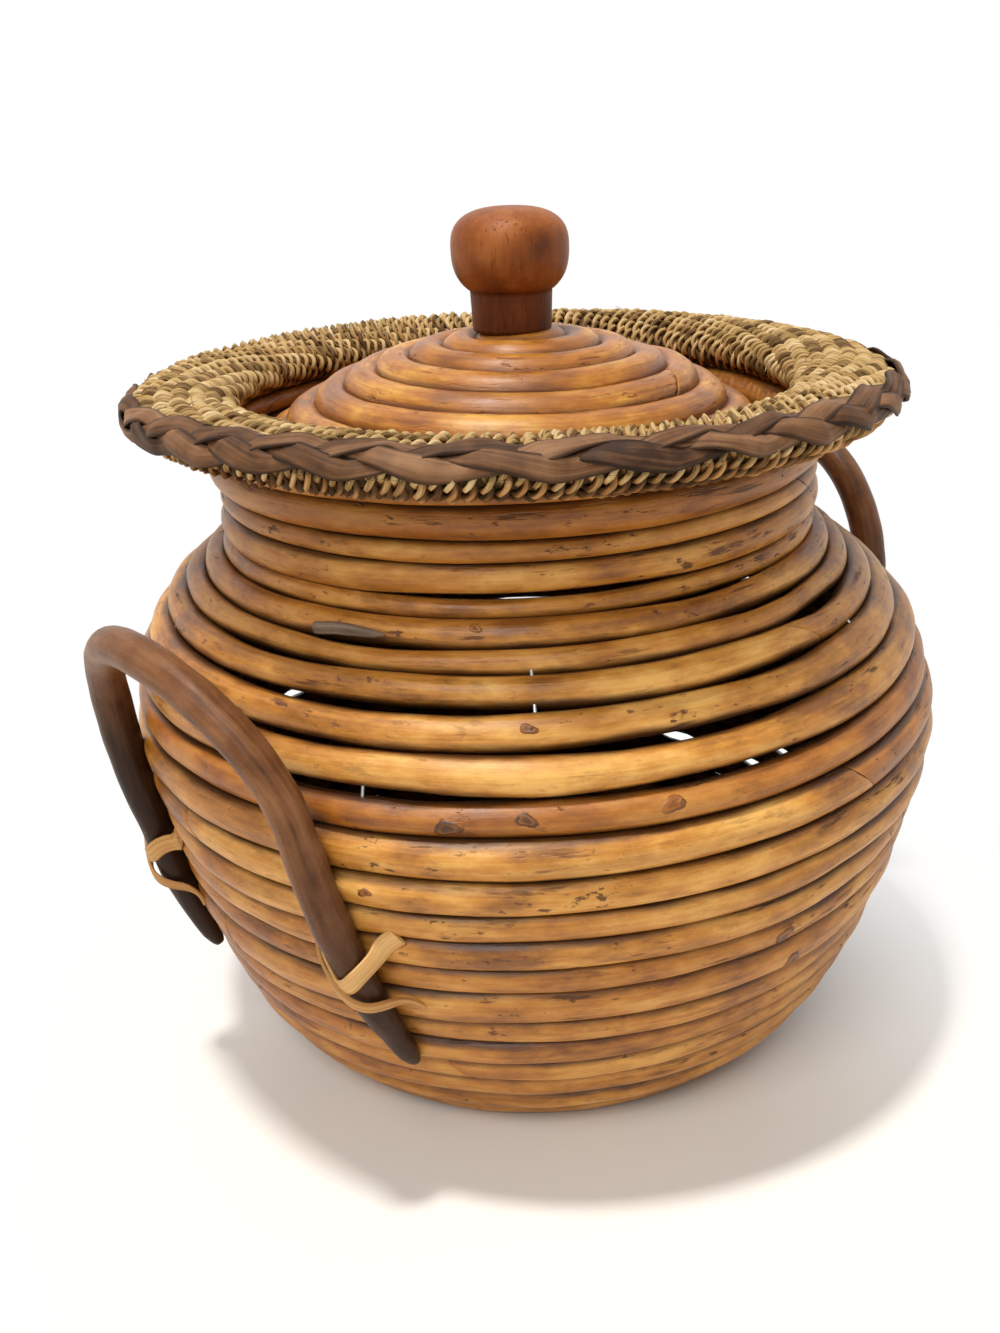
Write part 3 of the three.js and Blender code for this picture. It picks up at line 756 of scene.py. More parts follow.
def wall_knots():
    """The knots seen in front, and some more on the sides and back."""
    draw = random.Random("knots")
    skins = [knot(draw, *row) for row in FRONT_KNOTS]
    for _ in range(OTHER_KNOTS):
        row = (draw.randint(11, 26), draw.uniform(300, 510), draw.uniform(-40, 25), draw.uniform(1.2, 2.2),
               draw.uniform(0.85, 1.08))
        skins.append(knot(draw, *row))
    return skins


def in_groove(edge, azimuths, out, up):
    """Points in the groove at an edge, out from the middle of the rods and up along the wall."""
    turns = front_turn(edge + FRONT_TURN, azimuths)
    point, along, normal = jar_path.frame(jar_edge(turns))
    return spin(point + normal * out[:, None] + along * up[:, None], COIL_START + TAU * (turns - 0.5))


def brad(edge, azimuth, depth):
    up = np.linspace(-BRAD_HALF_LENGTH, BRAD_HALF_LENGTH, 4)
    return tube(in_groove(edge, np.full(4, azimuth), np.full(4, depth * MM), up), BRAD_RADIUS, 8)


def brads():
    """The brads seen in front, and columns of more on the sides and back."""
    draw = random.Random("brads")
    skins = [brad(*row) for row in FRONT_BRADS]
    for column in range(1, BRAD_COLUMNS):
        for edge in BRAD_EDGES:
            azimuth = BRAD_AZIMUTH + 360 * column / BRAD_COLUMNS + draw.uniform(-1.5, 1.5)
            depth = draw.uniform(0.2, 1.6)
            if draw.random() < BRAD_SHARE:
                skins.append(brad(edge, azimuth, depth))
    return skins


def split_end():
    """A grey split end of a rod, cut square, that lies in the groove under the shoulder."""
    share = np.linspace(0, 1, 15)
    out = mix(2.4, 3.7, np.minimum(3 * share, 1)) * MM
    up = 0.4 * MM * np.sin(3 * share) + 1.3 * MM
    radii = np.interp(share, [0, 0.5, 0.85, 1], [1.7, 1.5, 1.0, 0.2]) * MM
    return tube(in_groove(SPLIT_EDGE, mix(*SPLIT_AZIMUTHS, share), out, up), radii, 10, offset=3.0, tone=0.8)


make_piece("wall_rod_knots", wall_knots(), REED, "basket", "reed")
make_piece("course_brads", brads(), STEEL, "basket", "steel")
make_piece("split_rod_end", [split_end()], SPLIT, "basket", "reed")


# Turned pieces: the seat hoop, knob, washer and screw

def lathe(outline, sides, across_grain=False, groove=0.0, loop=True):
    """An outline of radius and height turned about the axis; a loop is a ring, and the rest start on the axis.
    Its grain runs round it, unless it is cut from a block across the grain."""
    outline = np.array(outline)
    angles = full_circle(sides)
    rings = spin(outline[:, None, :], angles[None, :])
    straight = rings if across_grain else stacked(outline[:, :1] * angles, distances(outline)[:, None], 0.0)
    return Skin(rings, straight, groove, tone=0.3, loop=loop)


hoop_low, hoop_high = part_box("lid_seat_hoop")
HOOP_RADIUS = (hoop_high[2] - hoop_low[2]) / 2
hoop_circle = full_circle(16)
hoop_outline = stacked(hoop_high[0] - HOOP_RADIUS + HOOP_RADIUS * np.cos(hoop_circle),
                       (hoop_low[2] + hoop_high[2]) / 2 + HOOP_RADIUS * np.sin(hoop_circle))
make_piece("lid_seat_hoop_reed", [lathe(hoop_outline, 144)], REED, "basket", "reed", "lid_seat_hoop")

AXIS = 0.05 * MM
STEM_HEIGHT = 11.3 * MM
STEM_RADIUS = 10.9 * MM
STEM_FLARE = 0.5 * MM
STEM_BEVEL = 0.5 * MM
UNDERCUT = 0.5 * MM
KNOB_FULLNESS_BELOW = 2.5
KNOB_FULLNESS_ABOVE = 2.7
KNOB_WIDEST = 0.5
KNOB_BEDDED = 0.8 * MM
BORE_RADIUS = 2.3 * MM
BORE_DEPTH = 18.3 * MM
BORE_LIP = 1 * MM
BORE_LIP_WIDTH = 0.6 * MM
knob_low, knob_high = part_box("knob")
KNOB_RADIUS = knob_high[0]
stem_base, knob_top = knob_low[2] - KNOB_BEDDED, knob_high[2]


def knob_outline():
    """Bore, stem that widens a little upwards, undercut, and a flattened ball, each row with how dark it is."""
    stem = [(AXIS, BORE_DEPTH), (BORE_RADIUS, BORE_DEPTH), (BORE_RADIUS, BORE_LIP), (BORE_RADIUS + BORE_LIP_WIDTH, 0),
            (STEM_RADIUS - STEM_BEVEL, 0), (STEM_RADIUS, STEM_BEVEL)]
    stem += [(STEM_RADIUS + STEM_FLARE * share, STEM_HEIGHT * share) for share in np.linspace(0.1, 1, 10)]
    rows = [(radius, stem_base + height, 1.0) for radius, height in stem]
    neck_share = (STEM_RADIUS + STEM_FLARE + UNDERCUT) / KNOB_RADIUS
    ball_base = stem_base + STEM_HEIGHT
    widest = mix(ball_base, knob_top, KNOB_WIDEST)
    lowest = (1 - neck_share ** KNOB_FULLNESS_BELOW) ** (1 / KNOB_FULLNESS_BELOW)
    sweep = np.linspace(-math.asin(lowest ** (KNOB_FULLNESS_BELOW / 2)), math.pi / 2 - 0.01, 44)
    for angle in sweep:
        fullness = KNOB_FULLNESS_BELOW if angle < 0 else KNOB_FULLNESS_ABOVE
        level = abs(math.sin(angle)) ** (2 / fullness)
        width = abs(math.cos(angle)) ** (2 / fullness)
        height = widest - (widest - ball_base) * level / lowest if angle < 0 else mix(widest, knob_top, level)
        # The ball's lowest rows are darkened, fading upwards: painted shade under the ball
        rows.append((max(KNOB_RADIUS * width, AXIS), height, max(0.0, 0.8 - (angle - sweep[0]) / 0.25)))
    rows.append((AXIS, knob_top, 0.0))
    return np.array(rows)


knob_rows = knob_outline()
knob_skin = lathe(knob_rows[:, :2], 72, across_grain=True, groove=knob_rows[:, 2:], loop=False)
make_piece("turned_knob", [knob_skin], KNOB_WOOD, "lid", "knob_wood", "knob")

BEVEL = 0.25 * MM
(*_, washer_base), (washer_radius, _, washer_top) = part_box("knob_washer")
washer_rows = [(BORE_RADIUS, washer_base + BEVEL), (BORE_RADIUS + BEVEL, washer_base),
               (washer_radius - BEVEL, washer_base), (washer_radius, washer_base + BEVEL),
               (washer_radius, washer_top - BEVEL), (washer_radius - BEVEL, washer_top),
               (BORE_RADIUS + BEVEL, washer_top), (BORE_RADIUS, washer_top - BEVEL)]
make_piece("plated_washer", [lathe(washer_rows, 64)], STEEL, "lid", "steel", "knob_washer")

SCREW_RADIUS = 2 * MM
SCREW_HEAD = 2.6 * MM
THREAD = 1.2 * MM
THREAD_ROOT = 0.72
(*_, screw_base), (head_radius, _, screw_tip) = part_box("knob_screw")
screw_rows = [(AXIS, screw_base)]
for share in np.linspace(0.25, 1, 8):
    screw_rows.append((head_radius * math.sin(share * math.pi / 2),
                       screw_base + (SCREW_HEAD - BEVEL) * (1 - math.cos(share * math.pi / 2))))
screw_rows += [(head_radius, screw_base + SCREW_HEAD), (SCREW_RADIUS, screw_base + SCREW_HEAD)]
shank_top = screw_tip - 2 * SCREW_RADIUS
for _ in range(int((shank_top - screw_rows[-1][1]) / THREAD)):
    level = screw_rows[-1][1]
    screw_rows += [(SCREW_RADIUS * THREAD_ROOT, level + THREAD * 0.3), (SCREW_RADIUS, level + THREAD * 0.75),
                   (SCREW_RADIUS, level + THREAD)]
screw_rows += [(SCREW_RADIUS, shank_top), (AXIS, screw_tip)]
make_piece("plated_screw", [lathe(screw_rows, 40, loop=False)], STEEL, "lid", "steel", "knob_screw")


# The rim: a straw core wrapped in two-ply cord, and a flat braid of bark strips

ROLL_HALF_WIDTH = 14.8 * MM
ROLL_HALF_HEIGHT = 7.5 * MM
ROLL_OVERHANG = 6.9 * MM
ROLL_TILT = math.radians(4)
CORD_WRAPS = 172
CORD_RADIUS = 1.8 * MM
CORD_SPACING = 0.92
CORD_UNDERSIDE_SHADE = 1.6
WRAP_JITTER = 0.12
WRAP_LIFT = (-0.2 * MM, 0.25 * MM)
WRAP_SLANT = (1.4 * MM, 2.4 * MM)
PLY_RADIUS = 0.92 * MM
PLY_OFFSET = 0.95 * MM
PLY_TWISTS = 7
PLY_STEPS = 108
PLY_SIDES = 5
PHASE_DRIFT = 0.55
PHASE_JITTER = 0.45
DARK_FROM = 0.75 * MM
DARK_DEPTH = 1.7 * MM
STRAY_FIBRES = 30
STRAY_RADIUS = 0.16 * MM
roll_low, roll_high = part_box("rim_cord_roll")
roll_middle = np.array([MOUTH_RADIUS + ROLL_OVERHANG, (roll_low[2] + roll_high[2]) / 2])


def roll_section(shrink, count):
    """Evenly spaced points of the roll's section from its outer edge on, their outward normals, and its girth."""
    angles = np.linspace(0, TAU, 721)
    points = stacked((ROLL_HALF_WIDTH - shrink) * np.cos(angles), (ROLL_HALF_HEIGHT - shrink) * np.sin(angles))
    cosine, sine = math.cos(ROLL_TILT), math.sin(ROLL_TILT)
    points = points @ np.array([[cosine, sine], [-sine, cosine]])
    places = distances(points)
    even = read_rows(places[-1] * np.arange(count) / count, places, points)
    along = unit(np.roll(even, -1, 0) - np.roll(even, 1, 0))
    return roll_middle + even, right_of(along), places[-1]


def cord_wraps():
    """Two plies twisted together, for each wrap round the roll; painted shade between them and underneath."""
    draw = random.Random("cord")
    middle, normal, girth = roll_section(CORD_RADIUS, PLY_STEPS)
    share = np.arange(PLY_STEPS) / PLY_STEPS
    circle = full_circle(PLY_SIDES)
    squeeze = CORD_SPACING * np.clip(middle[:, 0] * TAU / CORD_WRAPS / (2 * CORD_RADIUS), 0.6, 1.15)
    # Painted shade on the underside of the roll, below the braid
    under = CORD_UNDERSIDE_SHADE * np.clip(-normal[:, 1] - 0.1, 0, 1)
    phase = 0.0
    skins = []
    for wrap in range(CORD_WRAPS):
        facing = TAU * (wrap + draw.uniform(-WRAP_JITTER, WRAP_JITTER)) / CORD_WRAPS
        phase += PHASE_DRIFT + draw.uniform(-PHASE_JITTER, PHASE_JITTER)
        lift = draw.uniform(*WRAP_LIFT)
        tone = draw.random()
        offset = draw.uniform(0, 50)
        slant = draw.uniform(*WRAP_SLANT) * np.sin(TAU * share)
        for ply in range(2):
            twist = TAU * PLY_TWISTS * share + phase + math.pi * ply
            outwards = PLY_OFFSET * np.cos(twist) + lift
            sideways = PLY_OFFSET * np.sin(twist) * squeeze + slant
            thick = PLY_RADIUS * (1 + 0.08 * np.sin(TAU * 3 * share + phase))[:, None]
            out = outwards[:, None] + thick * np.cos(circle)
            side = sideways[:, None] + thick * squeeze[:, None] * np.sin(circle)
            section = middle[:, None] + normal[:, None] * out[..., None]
            straight = stacked((share * girth + offset + ply)[:, None], thick * np.cos(circle + 1.0),
                               thick * np.sin(circle + 1.0))
            # Darker inwards between the plies and wraps, and underneath: painted shade
            deep = np.clip((DARK_FROM - out) / DARK_DEPTH + under[:, None], 0, 1)
            rings = spin(section, facing + side / section[..., 0])
            skins.append(Skin(rings, straight, deep, tone + 0.5 * ply - 0.25, loop=True))
    return skins


def stray_fibres():
    """Loose straw ends that stand off the wrapped cord."""
    draw = random.Random("fibres")
    middle, normal, _ = roll_section(0, PLY_STEPS)
    share = np.linspace(0, 1, 7)
    skins = []
    for _ in range(STRAY_FIBRES):
        k = draw.randrange(PLY_STEPS)
        facing = draw.uniform(0, TAU)
        length = draw.uniform(3, 8) * MM
        sideways, curl, rise = draw.uniform(-1, 1), draw.uniform(-0.4, 0.4), draw.uniform(0.12, 0.45)
        section = middle[k] + normal[k] * ((share * rise - 0.1) * length)[:, None]
        angles = facing + length * (sideways * share + curl * share ** 2) / section[:, 0]
        radii = STRAY_RADIUS * (1 - 0.6 * share)
        skins.append(tube(spin(section, angles), radii, 5, draw.uniform(0, 50), draw.random()))
    return skins


make_piece("rim_wrapped_cord", cord_wraps() + stray_fibres(), CORD, "basket", "seagrass_cord", "rim_cord_roll")

BRAID_LOWEST = -3 * MM
BRAID_RISE = 8 * MM
BRAID_RISE_FROM = 0.31
BRAID_TIP_FACING = math.radians(232)


def braid_level(angles):
    """How far up the outer side of the roll the braid's middle lies: higher in front than behind."""
    return BRAID_LOWEST + BRAID_RISE * smooth(np.cos(angles - BRAID_TIP_FACING) / 2 + 0.5, BRAID_RISE_FROM, 1)


CORE_STRANDS = 14
CORE_STRAND_TURNS = 3
CORE_RIDGE = 0.35 * MM
CORE_SIDES = 84
CORE_STEPS = 240
CORE_SHRINK = 2.3 * MM
CORE_RUN = 0.09
CORE_WIDTH = 0.03
# The core swells behind the braid, and where it sits on the wall, a share of the way round the roll
BEHIND_BRAID = 1.7 * MM
BEHIND_BRAID_HALF = 0.045
ON_WALL = 2.9 * MM
ON_WALL_SHARE = 0.63
ON_WALL_HALF = 0.06


def core_skin():
    """A bundle of straw that shows between the wraps, with a ridge for each strand."""
    middle, normal, girth = roll_section(CORE_SHRINK, CORE_SIDES)
    turns = full_circle(CORE_STEPS)[:, None]
    share = np.arange(CORE_SIDES) / CORE_SIDES

    def swelling(place, half, height):
        return height * bell((share - place + 0.5) % 1 - 0.5, half)

    ridge = CORE_RIDGE * np.abs(np.cos(math.pi * CORE_STRANDS * share + CORE_STRAND_TURNS * turns))
    fill = swelling(braid_level(turns) / girth, BEHIND_BRAID_HALF, BEHIND_BRAID) \
        + swelling(ON_WALL_SHARE, ON_WALL_HALF, ON_WALL)
    rings = spin(middle + normal * (fill - ridge)[..., None], turns)
    straight = stacked(turns * CORE_RUN, share * CORE_WIDTH, ridge)
    return Skin(rings, straight, loop=True)


make_piece("rim_straw_core", [core_skin()], CORE, "basket", "straw_core", "rim_core")

BRAID_PERIODS = 10
BRAID_SWING = 3.4 * MM
BRAID_STRIP = 4.7 * MM
BRAID_STRIP_THICKNESS = 0.8 * MM
BRAID_WEAVE = 0.75 * MM
BRAID_BUCKLE = 0.3 * MM
BRAID_HALF_HEIGHT = 5.6 * MM
BRAID_FOLD = 0.8 * MM
BRAID_OFF = 0.9 * MM
BRAID_HUG = 0.7 * MM
BRAID_STEPS = 1100
BRAID_ROWS = np.array([-1, -0.94, -0.5, 0, 0.5, 0.94, 1])
BAND_STEPS = 720
braid_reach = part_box("rim_braid")[1][0] - BRAID_STRIP_THICKNESS
band_points, band_normals, band_girth = roll_section(0, BAND_STEPS)
band_places = (np.arange(BAND_STEPS) * band_girth / BAND_STEPS + band_girth / 2) % band_girth - band_girth / 2
band_order = np.argsort(band_places)
band_places = band_places[band_order]
band_rows = np.concatenate([band_points, band_normals], 1)[band_order]


def braid_place(angles, up, out):
    """A point of the braid: up along the outer side of the roll from its level there, and out from it.
    Past the band's edges a strip folds back."""
    over = np.maximum(np.abs(up) - BRAID_HALF_HEIGHT, 0)
    rise = np.minimum(np.abs(up), BRAID_HALF_HEIGHT) + BRAID_FOLD * np.tanh(over / BRAID_FOLD)
    out = out + BRAID_OFF - BRAID_HUG * np.minimum(np.abs(up) / BRAID_HALF_HEIGHT, 1.2) ** 3
    rows = read_rows(braid_level(angles) + np.sign(up) * rise, band_places, band_rows)
    return spin(rows[..., :2] + rows[..., 2:] * out[..., None], angles)


def braid_strips():
    """Three flat strips of bark plaited round the rim, each in turn over and under the others."""
    turns = full_circle(BRAID_STEPS)
    wide = np.concatenate([BRAID_ROWS, BRAID_ROWS[::-1]])
    face = np.repeat([1, -1], len(BRAID_ROWS))
    edge = np.where(np.abs(wide) == 1, 0.4, 1)
    uneven = 0.3 * np.sin(2 * turns + 1) + 0.22 * np.sin(5 * turns + 2)
    skins = []
    for ply in range(3):
        phase = BRAID_PERIODS * turns + TAU * ply / 3 + uneven
        swing = BRAID_SWING * np.arcsin(0.96 * np.sin(phase)) / 1.29
        slope = np.gradient(swing, turns * braid_reach)
        weave = BRAID_WEAVE * np.tanh(2.5 * np.sin(2 * phase))
        half = BRAID_STRIP / 2 * (1 + 0.16 * np.sin(8 * turns + ply) + 0.1 * np.sin(23 * turns + 2 * ply))
        lean = np.sqrt(1 + slope ** 2)
        up = swing[:, None] + (half / lean)[:, None] * wide
        shift = -(half * slope / lean)[:, None] * wide
        buckle = BRAID_BUCKLE * np.sin(2.2 * wide + 5 * np.sin(9 * turns[:, None] + ply))
        out = weave[:, None] + buckle + BRAID_STRIP_THICKNESS / 2 * face * edge
        rings = braid_place(turns[:, None] + shift / braid_reach, up, out)
        straight = stacked((turns * braid_reach)[:, None] + 3 * ply, half[:, None] * wide, 0.5 * MM * face)
        # Darker towards the strip edges: painted shade where the strips overlap and between them
        groove = np.clip(1.2 * np.abs(wide) - 0.15, 0, 1)[None, :]
        skins.append(Skin(rings, straight, groove, tone=0.25 + 0.25 * ply, loop=True))
    return skins


make_piece("rim_bark_braid", braid_strips(), BRAID, "basket", "bark_braid", "rim_braid")


# The handles and their lashings

HANDLE = 10.3 * MM
HANDLE_LOWER = 8.8 * MM
HANDLE_TIP = 5 * MM
HANDLE_TIP_LENGTH = 25 * MM
HANDLE_ROUNDING = 5 * MM
HANDLE_FOOT = 32 * MM
HANDLE_END = 35 * MM
HANDLE_SPRING = 108 * MM
HANDLE_FULL = HANDLE_SPRING + 10 * MM
HANDLE_TOPS = {"left": 143 * MM, "right": 155 * MM}
HANDLE_FACING = {"left": math.pi, "right": 0.0}
HANDLE_SPAN = 92 * MM
HANDLE_SPLAY = 8 * MM
HANDLE_LEAN = 16 * MM
HANDLE_SIDES = 20
HANDLE_STEPS = 220
# Height below which the handle darkens, and the share of its run from the far leg's end that has painted shade
HANDLE_DARKENING_TOP = 120 * MM
HANDLE_SHADED_SHARE = 0.42
LEFT_LEG_SET_BACK = 3.6 * MM
LEG_PRESSED = 0.9 * MM
LEG_PRESSED_OVER = 30 * MM
LASH_HEIGHT = 73 * MM
LASH_THICKNESS = 1.1 * MM
wall_run = np.linspace(base_length, belly_distance, 400)


def beside_wall(height, distance):
    """Radius at which a piece lies a distance off the middle of the wall rods; straight up above the belly."""
    point, _, normal = jar_path.frame(wall_run)
    radii = []
    for level, off in zip(height, distance):
        row = point + normal * off
        radii.append(BELLY_RADIUS + off if level >= row[-1, 1] else np.interp(level, row[:, 1], row[:, 0]))
    return np.array(radii)


def handle_radius(height):
    levels = [HANDLE_END, HANDLE_END + HANDLE_TIP_LENGTH, HANDLE_FULL]
    return np.interp(height, levels, [HANDLE_TIP / 2, HANDLE_LOWER / 2, HANDLE / 2])


def handle_point(side, sideways, height):
    if side == "left":
        sideways = sideways - LEFT_LEG_SET_BACK * np.clip(2 * sideways / HANDLE_SPAN, 0, 1)
    share = (height - HANDLE_FOOT) / (HANDLE_TOPS[side] - HANDLE_FOOT)
    reach = BELLY_RADIUS + ROD_DEPTH / 2 + SEAT_GAP + HANDLE / 2
    angle = HANDLE_FACING[side] + (sideways + HANDLE_LEAN * (0.5 - share)) / reach
    pressed = LEG_PRESSED * np.clip((HANDLE_SPRING - height) / LEG_PRESSED_OVER, 0, 1)
    radius = beside_wall(height, ROD_DEPTH / 2 + SEAT_GAP + handle_radius(height) - pressed)
    return spin(stacked(radius, height), angle)


def leg_point(side, leg, height):
    share = (HANDLE_SPRING - height) / (HANDLE_SPRING - HANDLE_FOOT)
    return handle_point(side, leg * (HANDLE_SPAN / 2 + HANDLE_SPLAY * share), height)


def outward(points):
    return unit(points * np.array([1, 1, 0]))


def handle_piece(side):
    """A bent rod with its bark on: up one leg, over the arch and down the other, darker towards the bottom and with
    painted shade along its first leg.
    """
    rise = np.linspace(HANDLE_END, HANDLE_SPRING, 40)
    swing = np.linspace(0, math.pi, 60)[1:-1]
    arch = handle_point(side, -HANDLE_SPAN / 2 * np.cos(swing),
                        HANDLE_SPRING + (HANDLE_TOPS[side] - HANDLE_SPRING) * np.sin(swing))
    line = np.concatenate([leg_point(side, -1, rise), arch, leg_point(side, 1, rise[::-1])])
    run = distances(line)
    even = np.linspace(0, run[-1], HANDLE_STEPS)
    line = read_rows(even, run, line)
    for _ in range(3):
        line[1:-1] = (line[:-2] + 2 * line[1:-1] + line[2:]) / 4
    _, out, across = line_frames(line, outward(line))
    tip = np.minimum(even, even[-1] - even)
    radius = handle_radius(line[:, 2])
    radius *= 1 + 0.025 * ripple(even, 0.05, side) + 0.015 * ripple(even, 0.015, f"{side} b")
    radius *= 0.55 + 0.45 * np.clip(tip / HANDLE_ROUNDING, 0, 1) ** 0.6
    circle = full_circle(HANDLE_SIDES)
    knobbly = 1 + 0.03 * np.sin(3 * circle + 40 * even[:, None]) * np.sin(90 * even[:, None] + 1)
    rows = radius[:, None] * knobbly
    a, b = rows * np.cos(circle), rows * np.sin(circle)
    # Darker towards the bottom, and painted shade along the first, far leg
    darkness = np.clip((HANDLE_DARKENING_TOP - line[:, 2]) / HANDLE_DARKENING_TOP, 0, 0.8)
    darkness = (darkness + 0.9 * np.clip(1.5 - 1.5 * even / even[-1] / HANDLE_SHADED_SHARE, 0, 1))[:, None]
    skin = strand(line, out, a, across, b, even, groove=0.64 + 0.5 * darkness, tone=0.65 - 0.6 * darkness)
    make_piece(f"handle_{side}_bark", [skin], BARK, "basket", "handle_bark", f"handle_{side}")


# A cane strip's section, in shares of half its width and half its thickness
STRIP_WIDE = np.array([-1, -0.8, -0.3, 0.3, 0.8, 1, 0.8, 0.3, -0.3, -0.8])
STRIP_THICK = np.array([0, 0.8, 1, 1, 0.8, 0, -0.8, -1, -1, -0.8])


def ribbon(line, lifts, widths, thickness, offset, tone):
    """A flat strip along a line, its faces square to the lifts."""
    _, out, across = line_frames(line, lifts)
    a, b = np.broadcast_arrays(widths[:, None] / 2 * STRIP_WIDE, STRIP_THICK * thickness / 2)
    return strand(line, across, a, out, b, distances(line) + offset, tone=tone)


def round_off(rows, times=3):
    """Cuts the corners of a row of points, keeping its ends."""
    for _ in range(times):
        cut = np.empty((2 * len(rows), rows.shape[1]))
        cut[0], cut[-1] = rows[0], rows[-1]
        cut[1:-1:2] = mix(rows[:-1], rows[1:], 0.25)
        cut[2:-1:2] = mix(rows[:-1], rows[1:], 0.75)
        rows = cut
    return rows


# Middle lines of the two strips of a lashing in mm: across the leg, out from it and up along it,
# with the way that the strip faces in degrees from straight out
LASH_LINES = {
    "over": [(-10, -8, 13.6, -10), (-8.6, -4.6, 12, -15), (-6.6, -1.4, 8.6, -45), (-5.6, 2.2, 4, -62),
             (-4.4, 3.9, -1, -45), (-2.6, 5.2, -5.5, -25), (0, 5.9, -8.6, 0), (3, 4.9, -11, 30), (5, 2.2, -13, 60),
             (6.8, -1.8, -15.4, 45), (8.8, -4.2, -17.6, 12), (11.2, -4.8, -20, 0)],
    "under": [(-9.4, -8, 12.8, -10), (-8, -4.7, 11.2, -15), (-6.2, -1.4, 8, -45), (-4.9, 1.6, 3.6, -62),
              (-3.8, 3.2, -1, -45), (-2.6, 4.6, -4.4, -20), (0.4, 5.2, -3.4, 10), (3.2, 4.2, -2, 35),
              (5.6, 1.6, -0.6, 50), (7.4, -1.6, 0.2, 45), (9, -3.8, 1.2, 12), (11.2, -4.5, 2.6, 0),
              (13, -4.9, 4, 0)],
}
# Shares of the way along a strip, and its widths there in mm
LASH_WIDTHS = {"over": ([0, 0.15, 0.6, 0.8, 1], [2.4, 2.8, 3, 2.8, 0.6]),
               "under": ([0, 0.4, 0.5, 1], [2, 2.2, 5, 5.6])}


def lashing_piece(side, end, leg, layer):
    """A cane strip over one leg, one end tucked in beside the leg and the other along the wall."""
    name = f"lashing_{side}_{end}_{layer}"
    draw = random.Random(name)
    nearby = leg_point(side, leg, LASH_HEIGHT + np.array([-1, 0, 1]) * MM)
    along, out, across = (rows[1] for rows in line_frames(nearby, outward(nearby)))
    line, lifts = [], []
    for sideways, off, rise, facing in LASH_LINES[layer]:
        rise = rise + draw.uniform(-0.6, 0.6)
        line.append(nearby[1] + (across * sideways + out * off + along * rise) * MM)
        facing = math.radians(facing)
        lifts.append(out * math.cos(facing) + across * math.sin(facing))
    line, lifts = round_off(np.array(line)), unit(round_off(np.array(lifts)))
    run = distances(line)
    widths = np.interp(run / run[-1], *LASH_WIDTHS[layer]) * MM
    skin = ribbon(line, lifts, widths, LASH_THICKNESS, draw.uniform(0, 50), draw.random())
    make_piece(f"{name}_cane", [skin], CANE, "basket", "cane", name)


for side in ("left", "right"):
    handle_piece(side)
    for end, leg in (("near", 1), ("far", -1)):
        for layer in ("under", "over"):
            lashing_piece(side, end, leg, layer)


# Floor, light and camera

FLOOR_SIZE = 8.0
SHADOW_MIDDLE = (-0.08, -0.068, 0.0)
SHADOW_INNER = 0.06
SHADOW_OUTER = 0.26
WHITE = {"Color": (1, 1, 1, 1), "Strength": 1.0}


def stage():
    """A pale floor that keeps the shadow near the basket, and is white to the camera further off."""
    mesh = bpy.data.meshes.new("floor")
    corners = [(x * FLOOR_SIZE, y * FLOOR_SIZE, 0) for x, y in ((-1, -1), (1, -1), (1, 1), (-1, 1))]
    mesh.from_pydata(corners, [], [(0, 1, 2, 3)])
    look = bpy.data.materials.new("floor_look")
    nodes = Nodes(look)
    nodes.place = nodes.put("TexCoord", {}).outputs["Object"]
    color = nodes.ramp(nodes.noise((5, 5, 5), 3), (0.3, (0.86, 0.84, 0.79)), (0.7, (0.88, 0.86, 0.81)))
    nodes.shade({"Base Color": color, "Roughness": 0.8, "Specular IOR Level": 0.1})
    apart = nodes.put("VectorMath", {0: nodes.place, 1: SHADOW_MIDDLE}, operation="DISTANCE").outputs["Value"]
    far = nodes.steps(apart, SHADOW_INNER, SHADOW_OUTER)
    seen = nodes.calc("MULTIPLY", far, nodes.put("LightPath", {}).outputs["Is Camera Ray"])
    nodes.blend(seen, nodes.tree.nodes["Principled BSDF"], nodes.put("Emission", WHITE), "Material Output")
    mesh.materials.append(look)
    floor = add_object("floor", mesh)


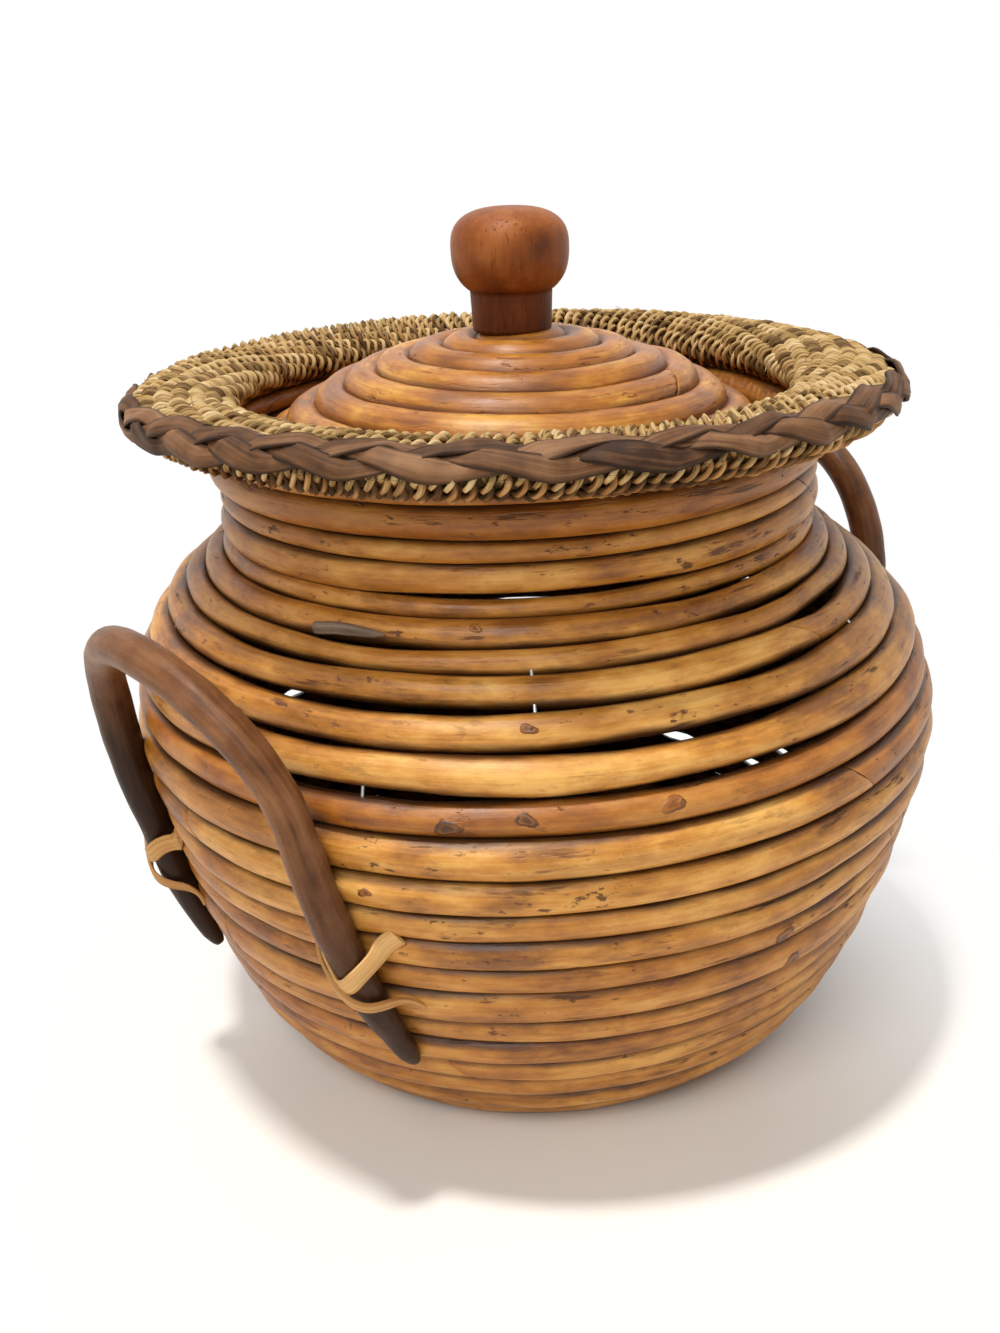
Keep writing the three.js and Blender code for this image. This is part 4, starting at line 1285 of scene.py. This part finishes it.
def sunlight(name, azimuth, elevation, strength, spread, color):
    sun = bpy.data.lights.new(name, "SUN")
    sun.energy = strength
    sun.angle = math.radians(spread)
    sun.color = color
    lamp = add_object(name, sun)
    lamp.rotation_euler = (math.radians(90 - elevation), 0, math.radians(azimuth))


def sky(strength, color):
    """Soft light from all round, behind which the camera, gloss and glass see white."""
    world = bpy.data.worlds.new("studio")
    nodes = Nodes(world)
    light = nodes.tree.nodes["Background"]
    nodes.fill(light, {"Color": (*color, 1.0), "Strength": strength})
    ray = nodes.put("LightPath", {}).outputs
    seen = nodes.calc("MAXIMUM", nodes.calc("MAXIMUM", ray["Is Camera Ray"], ray["Is Glossy Ray"]),
                      ray["Is Transmission Ray"])
    nodes.blend(seen, light, nodes.put("Background", WHITE), "World Output")
    scene.world = world


PHOTO_HEIGHT = 1333
FOCAL_PIXELS = 1400
AXIS_OFFSET_PIXELS = 31
SENSOR = 36
CLIP_START = 0.01
CAMERA_PLACE = (-0.280, -0.280, 0.267)
CAMERA_FACING = math.radians(-45)
CAMERA_PITCH = math.radians(22.5)
CAMERA_ROLL = math.radians(-1.8)


def camera():
    lens = bpy.data.cameras.new("camera")
    lens.sensor_width = SENSOR
    lens.lens = SENSOR * FOCAL_PIXELS / PHOTO_HEIGHT
    lens.shift_x = -AXIS_OFFSET_PIXELS / PHOTO_HEIGHT
    lens.clip_start = CLIP_START
    eye = add_object("camera", lens)
    turn = Matrix.Rotation(CAMERA_FACING, 4, "Z") @ Matrix.Rotation(math.pi / 2 - CAMERA_PITCH, 4, "X")
    eye.matrix_world = Matrix.Translation(CAMERA_PLACE) @ turn @ Matrix.Rotation(CAMERA_ROLL, 4, "Z")
    scene.camera = eye


stage()
sunlight("ceiling", azimuth=-125, elevation=81, strength=2.2, spread=5, color=(1.0, 0.98, 0.95))
sunlight("window", azimuth=-66, elevation=50, strength=1.45, spread=30, color=(1.0, 0.985, 0.96))
sky(0.3, (1.0, 0.985, 0.96))
camera()
scene.view_settings.view_transform = "Standard"
